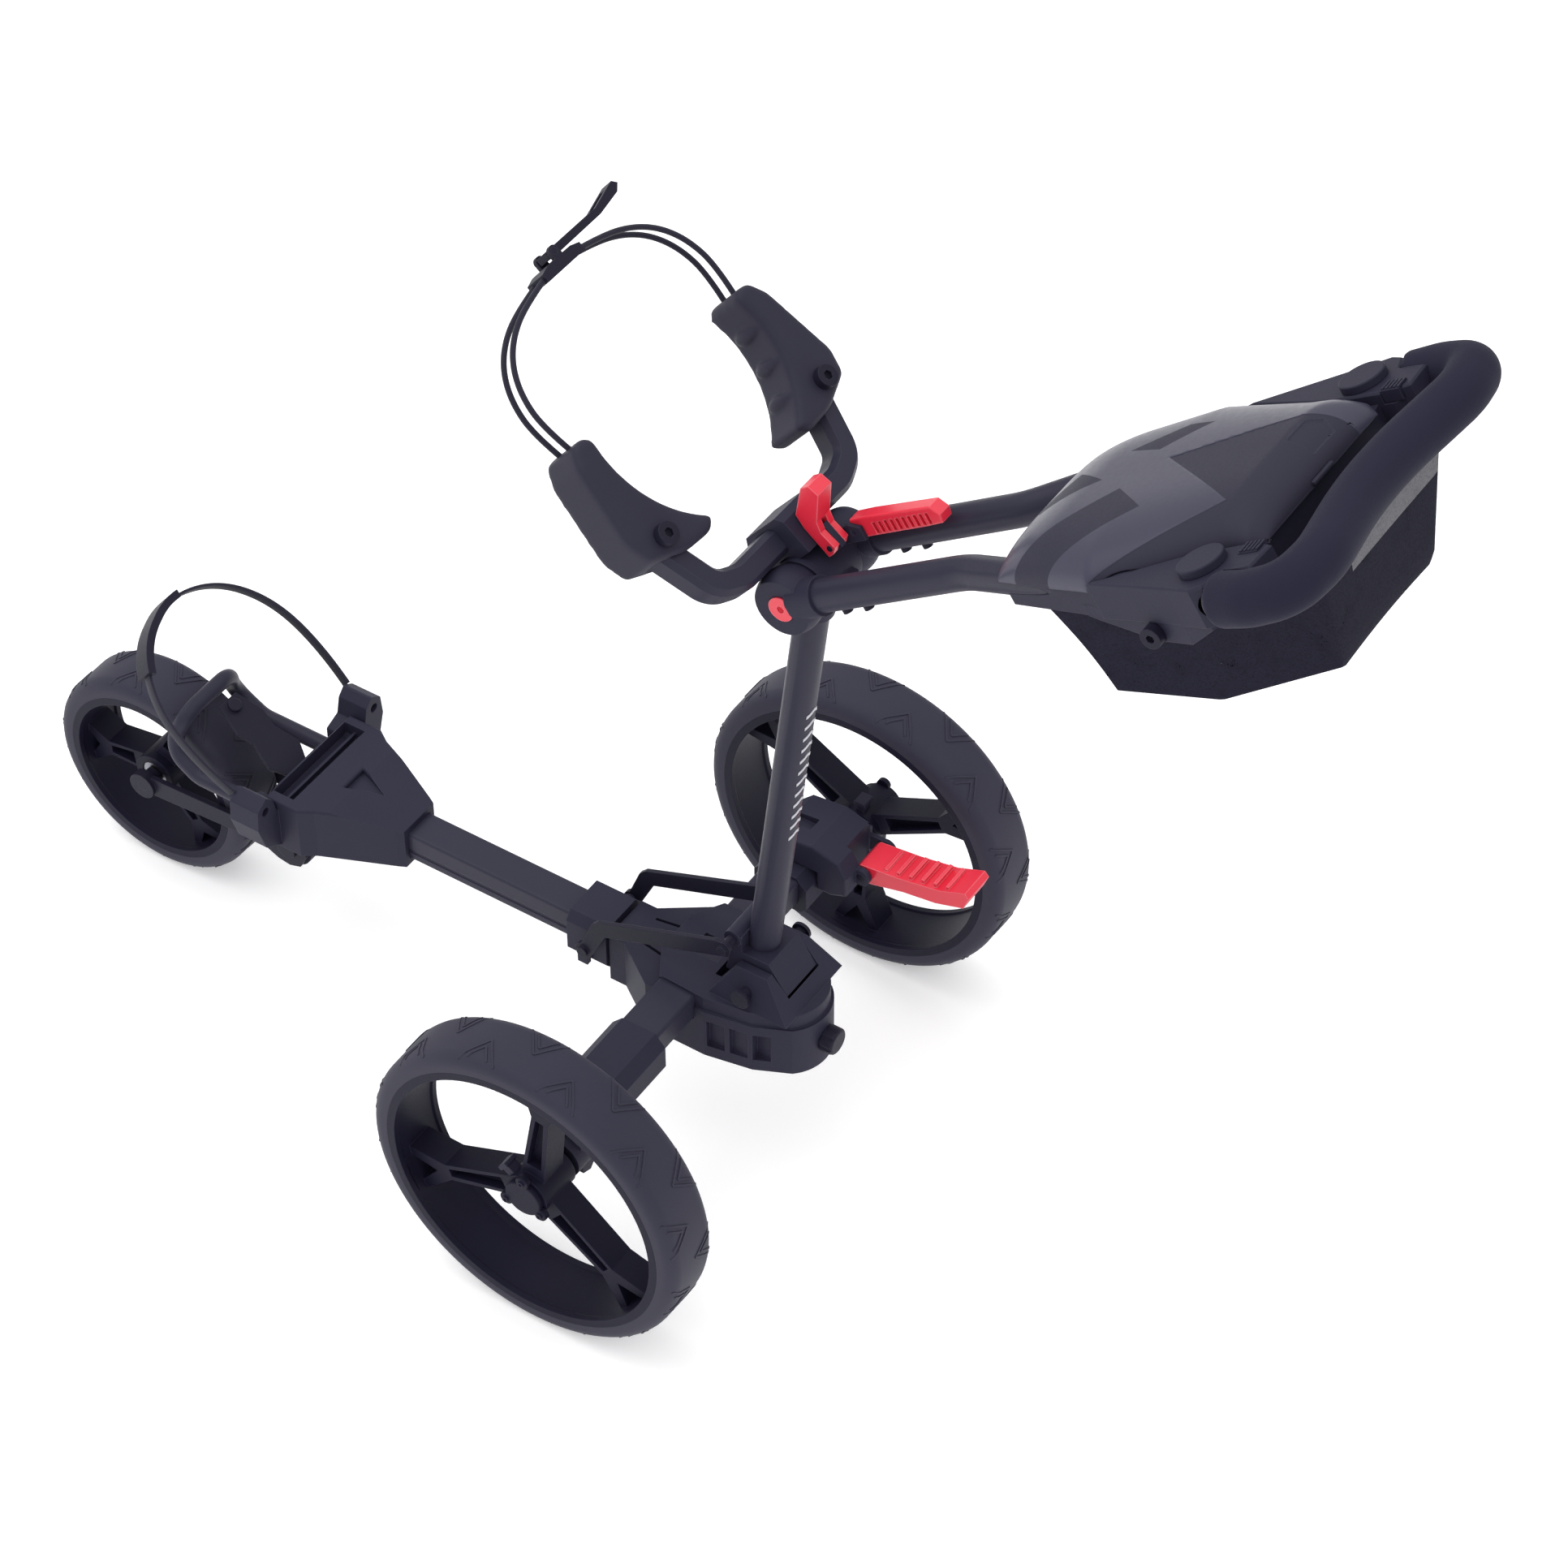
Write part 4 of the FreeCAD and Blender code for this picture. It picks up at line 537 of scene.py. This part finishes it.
# %% The lower band
BAND_WIDTH, BAND_THICKNESS = 10, 2.5
BAND_HALF = [(80, -6), (86, -46), (80, -104), (50, -148)]
BAND_LINE = BAND_HALF + [(0, -166)] + [(-x, y) for x, y in reversed(BAND_HALF)]
BAND_PLACE = Matrix.Translation((0, -0.37395, 0.205)) @ TO_CRADLE
line = smooth_line([(x, y, -BAND_WIDTH / 2) for x, y in BAND_LINE], BAND_PLACE)
pick_up(line)
bpy.ops.object.convert(target="MESH")
band = bpy.context.object
bpy.ops.object.mode_set(mode="EDIT")
bpy.ops.mesh.select_all(action="SELECT")
across_band = BAND_PLACE.to_3x3() @ Vector((0, 0, BAND_WIDTH * MM))
bpy.ops.mesh.extrude_region_move(TRANSFORM_OT_translate={"value": across_band})
bpy.ops.object.mode_set(mode="OBJECT")
finish_with(band, "SOLIDIFY", thickness=BAND_THICKNESS * MM, offset=0)
finish_with(band, "BEVEL", width=0.0005, segments=2)
put_down(band, "elastic_band", smooth=40)
dress(band, "chassis", CORD_WEAVE, "lower_strap")

# %% [markdown]
# ## The net bag
# Under the tray hangs a bag of knitted mesh, stretched between its rim and a flat base, so that its sides
# bow in slightly between the corners. A grid is shaped in rows: each row is one cut across the bag, from
# rim to rim, a third of it down one side, a third along the base and a third up the other side. The holes
# are in the finish.


# %% Shape the net
NET_FRONT, NET_REAR = 285, 521
NET_HALF_WIDTH, NET_TAPER, NET_BOW = 83.0, 24.0, 2.2
NET_LOW = [(283, -98), (366, -120), (484, -104), (521, -22)]
NET_TOP = [(287, -16), (490, -16), (500, -20), (522, -20.5)]


def along_line(points, s):
    """The height of a broken line at a distance s."""
    for (s0, n0), (s1, n1) in zip(points, points[1:]):
        if s <= s1:
            return n0 + (n1 - n0) * max(0.0, s - s0) / (s1 - s0)
    return points[-1][1]


def net_point(across, down):
    """A point of the net in millimetres, from its shares across the bag and back along it."""
    s = NET_FRONT + (NET_REAR - NET_FRONT) * down
    top, low = along_line(NET_TOP, s), along_line(NET_LOW, s)
    half_low = NET_HALF_WIDTH - NET_TAPER * min(1.0, max(0.0, (-16 - low) / 108.0))
    bow = NET_BOW * min(1.0, (top - low) / 82.0)
    share = across * 3.0
    if 1.0 <= share <= 2.0:
        x = -half_low + 2 * half_low * (share - 1.0)
        return x, s, low + bow * math.sin(math.pi * (share - 1.0)) * 0.8
    side = -1 if share < 1.0 else 1
    fall = share if side < 0 else 3.0 - share
    x = side * (NET_HALF_WIDTH - (NET_HALF_WIDTH - half_low) * fall - bow * math.sin(math.pi * fall))
    return x, s, top + (low - top) * fall


NET_COLUMNS, NET_ROWS = 65, 49
clear_bench()
bpy.ops.mesh.primitive_grid_add(x_subdivisions=NET_COLUMNS - 1, y_subdivisions=NET_ROWS - 1, size=1)
net = bpy.context.object
for vertex in net.data.vertices:
    vertex.co = Vector(net_point(vertex.co.x + 0.5, vertex.co.y + 0.5)) * MM
select_where(net, "VERT", lambda co: co.y < NET_FRONT * MM + 0.00001)
bpy.ops.mesh.edge_face_add()
bpy.ops.mesh.inset(thickness=0.004)
bpy.ops.object.mode_set(mode="OBJECT")
finish_with(net, "SOLIDIFY", thickness=0.0008, offset=0)
put_down(net, "net_bag_mesh", ON_HANDLE, smooth=30)

# %% [markdown]
# ## Knitted mesh
# Warp-knitted polyester, dense and dark. Only a few of its openings line up with the light, so it reads as
# a dark skin with scattered pale specks. The openings are drawn 1.6 mm apart, and a slow noise thins them
# out. A pale grey patch along the rear rim is painted light: it stands for the net's inner surface, lit from
# above where it shows between the lid and the grip.


# %% The net's knit and its painted light patch
KNIT_PITCH = 1.6


def knit(name, yarn_low, yarn_high, thin):
    """A knitted skin. thin is how much of it is open, from 0 to 1."""
    material, tree, output = new_finish(name)
    place = add(tree, "ShaderNodeTexCoord").outputs["Object"]
    loops = add(tree, "ShaderNodeTexVoronoi", [("Vector", place), ("Scale", 1000.0 / KNIT_PITCH),
                                               ("Randomness", 1.0)])
    patches = add(tree, "ShaderNodeTexNoise", [("Vector", place), ("Scale", 55.0), ("Detail", 3.0)])
    limit = add(tree, "ShaderNodeMapRange", [("Value", patches.outputs["Fac"]), ("From Min", 0.42),
                                             ("From Max", 0.75), ("To Min", 0.0), ("To Max", thin)])
    open_spot = add(tree, "ShaderNodeMath", [(0, loops.outputs["Distance"]), (1, limit.outputs[0])],
                    operation="LESS_THAN")
    shade = add(tree, "ShaderNodeMix", [(0, loops.outputs["Distance"]), (6, colour(yarn_high)),
                                        (7, colour(yarn_low))], data_type="RGBA")
    yarn = add(tree, "ShaderNodeBsdfPrincipled", [("Base Color", shade.outputs[2]), ("Roughness", 0.8),
                                                  ("Specular IOR Level", 0.1)])
    clear = add(tree, "ShaderNodeBsdfTransparent")
    mixed = add(tree, "ShaderNodeMixShader", [(0, open_spot.outputs[0]), (1, yarn.outputs[0]),
                                              (2, clear.outputs[0])])
    tree.links.new(mixed.outputs[0], output.inputs["Surface"])
    return material


NET_KNIT = knit("net_knit", "#151422", "#232232", 0.42)
# painted light: a pale grey patch that stands for the net's inner surface lit from above, between lid and
# grip
NET_PAINTED_LIGHT = knit("net_painted_light", "#5E5E63", "#7B7B80", 0.30)
net.data.materials.append(NET_KNIT)
net.data.materials.append(NET_PAINTED_LIGHT)
# faces behind this distance, above this height and short of this side get the painted light patch
LIT_PATCH_START, LIT_PATCH_LOW, LIT_PATCH_SIDE = 486, -48, 42
to_handle = ON_HANDLE.inverted()
for face in net.data.polygons:
    spot = to_handle @ face.center / MM
    in_lit_patch = spot.y > LIT_PATCH_START and spot.z > LIT_PATCH_LOW and spot.x < LIT_PATCH_SIDE
    face.material_index = 1 if in_lit_patch else 0
dress(net, "handle", None, "net_bag")

# %% [markdown]
# ## The lid
# The lid is one domed shell with sharp inlays: part of it is polished and part of it left matte, cut
# along straight lines. A flat grid is domed by a formula, because a wide crown that falls off fast at its
# edges keeps the highlight long and even.

# %% Dome the lid
LID_START, LID_END, LID_RIM, LID_CROWN = 239.0, 488.0, 6.5, 27.5
FRONT_RUN, REAR_RUN = 60.0, 30.0     # over these lengths the ends of the dome come down
LID_EDGE = [(239, 60), (243, 74), (300, 93), (352, 109), (440, 89), (478, 85), (488, 76)]


def lid_half_width(s):
    """Half the lid's width at a distance s from the hub, in millimetres."""
    return along_line(LID_EDGE, s)


def lid_height(x, s):
    """The lid's height above the handle's plane: a wide crown that falls off fast at the edges."""
    reach = min(1.0, abs(x) / lid_half_width(s))
    front = min(1.0, max(0.0, (s - LID_START) / FRONT_RUN))
    rear = min(1.0, max(0.0, (LID_END - s) / REAR_RUN))
    ends = (1 - (1 - front) ** 1.9) ** 0.45 * (1 - (1 - rear) ** 1.6) ** 0.5
    return LID_RIM + LID_CROWN * max(0.0, 1 - reach ** 3.6) ** 0.52 * ends


clear_bench()
bpy.ops.mesh.primitive_grid_add(x_subdivisions=80, y_subdivisions=110, size=1)
lid = bpy.context.object
for vertex in lid.data.vertices:
    along = vertex.co.y * 2
    s = (LID_START + LID_END) / 2 + (LID_END - LID_START) / 2 * math.sin(along * math.pi / 2)
    x = math.sin(vertex.co.x * math.pi) * lid_half_width(s)
    vertex.co = Vector((x, s, lid_height(x, s))) * MM


# %% [markdown]
# Real cuts are made with the bisect operator along each line of the inlay, so that a face belongs to one
# finish or the other with a clean edge. Each field of the inlay is convex, so a point is inside it where it
# lies on the same side of every edge.

# %% Cut the inlays
def cut_line(piece, first, second):
    """Cuts a flat-lying piece along the line through two points, given in millimetres."""
    run = Vector((second[0] - first[0], second[1] - first[1], 0)).normalized()
    pick_up(piece)
    bpy.ops.object.mode_set(mode="EDIT")
    bpy.ops.mesh.select_all(action="SELECT")
    bpy.ops.mesh.bisect(plane_co=(first[0] * MM, first[1] * MM, 0), plane_no=(run.y, -run.x, 0))
    bpy.ops.object.mode_set(mode="OBJECT")


def inside(shape, co):
    """True where a point is inside a convex outline given in millimetres, corner by corner."""
    x, y = co.x / MM, co.y / MM
    turns = []
    for (x0, y0), (x1, y1) in zip(shape, shape[1:] + shape[:1]):
        turns.append((x1 - x0) * (y - y0) - (y1 - y0) * (x - x0))
    return all(turn >= 0 for turn in turns) or all(turn <= 0 for turn in turns)


MATTE_SHAPES = [
    [(19, 335), (48, 372), (103, 294), (89, 256)],
    [(-16, 274), (2, 307), (27, 262), (20, 252)],
    [(-34, 309), (-28, 340), (-59, 370), (-61, 346)],
    [(-13, 359), (56, 453), (56, 495), (-52, 495), (-43, 457)],
    [(56, 453), (118, 332), (125, 495), (56, 495)],
]
TAB_SHAPE = [(-10, 464), (-36, 464), (-42, 474), (-36, 483), (-8, 483)]
for shape in MATTE_SHAPES + [TAB_SHAPE]:
    for first, second in zip(shape, shape[1:] + shape[:1]):
        cut_line(lid, first, second)
print("lid faces after the cuts", len(lid.data.polygons))

# %% [markdown]
# ## Polished and matte lid
# The same black-blue ABS twice: polished, with a tight highlight, and etched matte. A thin groove runs
# where the matte field starts, and the finger tab at the rear has its own outline.

# %% The lid's two finishes and its shell
SHELL = 0.0022
LID_GLOSS = skin("lid_polished", "#3F3E4F", "#5B5A6D", 0.34, 4.0, 0.01, drift=0.06, coat=0.10, edge_mm=1.2)
LID_MATTE = skin("lid_etched", "#2D2C3B", "#4A495A", 0.55, 2.0, 0.03, drift=0.06, edge_mm=1.2)
lid.data.materials.append(LID_GLOSS)
lid.data.materials.append(LID_MATTE)
for face in lid.data.polygons:
    face.material_index = 1 if any(inside(shape, face.center) for shape in MATTE_SHAPES) else 0
select_where(lid, "FACE", lambda co: inside(MATTE_SHAPES[3], co) or inside(MATTE_SHAPES[4], co))
bpy.ops.mesh.inset(thickness=0.0006, depth=-0.0003)
bpy.ops.object.mode_set(mode="OBJECT")
select_where(lid, "FACE", lambda co: inside(TAB_SHAPE, co))
bpy.ops.mesh.inset(thickness=0.0008, depth=-0.0010)
bpy.ops.object.mode_set(mode="OBJECT")
finish_with(lid, "SOLIDIFY", thickness=SHELL, offset=-1)

# %% [markdown]
# The lid comes down over both handle tubes, so a round channel a little wider than the tube is taken out of
# it on each side.

# %% Channels for the tubes
TUBE_SLOPE = math.atan2(92.0, 296.0)
CHANNEL_RADIUS, CHANNEL_MIDDLE = 14.0, (86.6, 335.0)
for side in (-1, 1):
    clear_bench()
    bpy.ops.mesh.primitive_cylinder_add(vertices=64, radius=CHANNEL_RADIUS * MM, depth=0.36)
    channel = bpy.context.object
    middle = Matrix.Translation(Vector((side * CHANNEL_MIDDLE[0], CHANNEL_MIDDLE[1], 0)) * MM)
    turn = Matrix.Rotation(-side * TUBE_SLOPE, 4, "Z") @ Matrix.Rotation(-math.pi / 2, 4, "X")
    channel.matrix_world = middle @ turn
    finish_with(lid, "BOOLEAN", operation="DIFFERENCE", solver="EXACT", object=channel)
    bpy.data.objects.remove(channel)
put_down(lid, "console_lid_dome", ON_HANDLE, smooth=32)

# %% [markdown]
# A finger tab sits at the rear edge of the lid. At the front a web carries the hinge: a barrel between the
# tray's lugs, and a thinner pin through both of them.

# %% Finger tab and hinge
BARREL, PIN = (3.2, 36), (1.8, 48)     # radius and length
tab = bar_at((0, 485.5, 9.2), (26, 10, 3.4))
finish_with(tab, "BEVEL", width=0.0010, segments=3)
web = bar_at((0, 239, 8.0), (35, 8, 2.8))
finish_with(web, "BEVEL", width=0.0005, segments=2)
hinge = [tab, web]
for radius, length in (BARREL, PIN):
    clear_bench()
    bpy.ops.mesh.primitive_cylinder_add(vertices=48, radius=radius * MM, depth=length * MM,
                                        location=(0, 0.235, 0.008), rotation=(0, math.pi / 2, 0))
    hinge.append(bpy.context.object)
    finish_with(hinge[-1], "BEVEL", width=0.0004, segments=2)
for piece in hinge:
    piece.data.materials.append(LID_MATTE)
hinge = join(hinge)
put_down(hinge, "lid_hinge", ON_HANDLE)
lid_and_tab = join([lid, hinge])
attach(lid_and_tab, "lid")
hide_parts("console_lid")
print("lid finished, faces", len(lid_and_tab.data.polygons))

# %% [markdown]
# ## Marks on the mast
# The real mast carries pale lettering. Here a column of plain pale chevrons stands in its place, printed
# thinly on the rear of the tube. Each is bent round the tube by turning its x into an angle.

# %% Printed chevrons
MAST_RADIUS, PRINT_LIFT, PRINT_REACH = 0.0135, 0.00025, 0.0076
MAST_FOOT = Vector(JOINTS["mast_fold"]["pos_m"]) + Vector((0, -0.006, 0.027))
MAST_LINE = (HUB - MAST_FOOT).normalized()
PRINT_INK = skin("print_ink", "#C8C7CE", "#DCDBE0", 0.45, 2.0, 0.01, drift=0.04)


def printed_chevron(height):
    """One chevron wrapped on the rear of the mast at a height along it, in millimetres."""
    halves = []
    for side in (-1, 1):
        half = bar_at((side * 3.6, 0, 0), (7.6, 3.2, 0.5))
        pick_up(half)
        bpy.ops.object.mode_set(mode="EDIT")
        bpy.ops.mesh.select_all(action="SELECT")
        bpy.ops.mesh.subdivide(number_cuts=4)
        bpy.ops.object.mode_set(mode="OBJECT")
        halves.append(half)
    piece = join(halves)
    across = Vector((1, 0, 0))
    back = MAST_LINE.cross(across).normalized() * -1.0
    if back.y < 0:
        back = -back
    for vertex in piece.data.vertices:
        angle = vertex.co.x / MAST_RADIUS
        out = MAST_RADIUS + PRINT_LIFT + vertex.co.z
        up = height * MM + vertex.co.y + (PRINT_REACH - abs(vertex.co.x)) * 0.8
        ring = across * (out * math.sin(angle)) + back * (out * math.cos(angle))
        vertex.co = MAST_FOOT + MAST_LINE * up + ring
    return piece


prints = join([printed_chevron(140 + 13 * step) for step in range(12)])
put_down(prints, "mast_print", smooth=60)
dress(prints, "mast", PRINT_INK)

# %% [markdown]
# ## The room
# A pale floor, soft light from all round, one large soft lamp high in front and a weaker one on the left
# give the even look of a shop picture. The floor glows a little, so that its shadows stay faint. The camera
# stands high behind the cart's left wheel, far away, with a long lens.

# %% Floor
clear_bench()
bpy.ops.mesh.primitive_plane_add(size=12, location=(0, 0, 0))
floor = bpy.context.object
floor.name = "floor"
FLOOR, tree, output = new_finish("pale_floor")
place = add(tree, "ShaderNodeTexCoord").outputs["Object"]
dust = add(tree, "ShaderNodeTexNoise", [("Vector", place), ("Scale", 3.0)])
tint = add(tree, "ShaderNodeMix", [(0, dust.outputs["Fac"]), (6, colour("#F6F6F7")), (7, colour("#FAFAFA"))],
           data_type="RGBA")
shader = add(tree, "ShaderNodeBsdfPrincipled", [("Base Color", tint.outputs[2]), ("Roughness", 0.9),
                                                ("Emission Color", (1, 1, 1, 1)),
                                                ("Emission Strength", 0.28)])
tree.links.new(shader.outputs[0], output.inputs["Surface"])
floor.data.materials.append(FLOOR)

# %% Light
world = bpy.data.worlds.new("studio")
bpy.context.scene.world = world
world.use_nodes = True
tree = world.node_tree
height = add(tree, "ShaderNodeSeparateXYZ", [(0, add(tree, "ShaderNodeTexCoord").outputs["Generated"])])
strength = add(tree, "ShaderNodeMapRange", [("Value", height.outputs["Z"]), ("To Min", 0.45),
                                            ("To Max", 1.45)])
tree.links.new(strength.outputs[0], tree.nodes["Background"].inputs["Strength"])
tree.nodes["Background"].inputs["Color"].default_value = (1, 1, 1, 1)


def soft_lamp(name, spot, aim, size, power):
    """A square soft lamp that faces a point."""
    data = bpy.data.lights.new(name, "AREA")
    data.size = size
    data.energy = power
    lamp = bpy.data.objects.new(name, data)
    bpy.context.collection.objects.link(lamp)
    lamp.location = spot
    lamp.rotation_euler = (Vector(aim) - Vector(spot)).to_track_quat("-Z", "Y").to_euler()


soft_lamp("key", (0.6, -1.8, 3.2), (0, 0, 0.4), 3.0, 30)
soft_lamp("fill", (2.6, 2.2, 2.2), (0, 0, 0.4), 2.5, 8)

# %% Camera
CAMERA_PLACE = (2.0819, 1.5122, 2.9270)
CAMERA_TURN, CAMERA_TILT, CAMERA_ROLL = 123.57, 45.03, -0.30
camera_data = bpy.data.cameras.new("camera")
camera_data.lens = 103.83
camera_data.sensor_width = 36
camera = bpy.data.objects.new("camera", camera_data)
bpy.context.collection.objects.link(camera)
camera.matrix_world = (Matrix.Translation(CAMERA_PLACE)
                       @ Matrix.Rotation(math.radians(CAMERA_TURN), 4, "Z")
                       @ Matrix.Rotation(math.radians(CAMERA_TILT), 4, "X")
                       @ Matrix.Rotation(math.radians(CAMERA_ROLL), 4, "Z"))
bpy.context.scene.camera = camera
bpy.context.scene.view_settings.view_transform = "Standard"
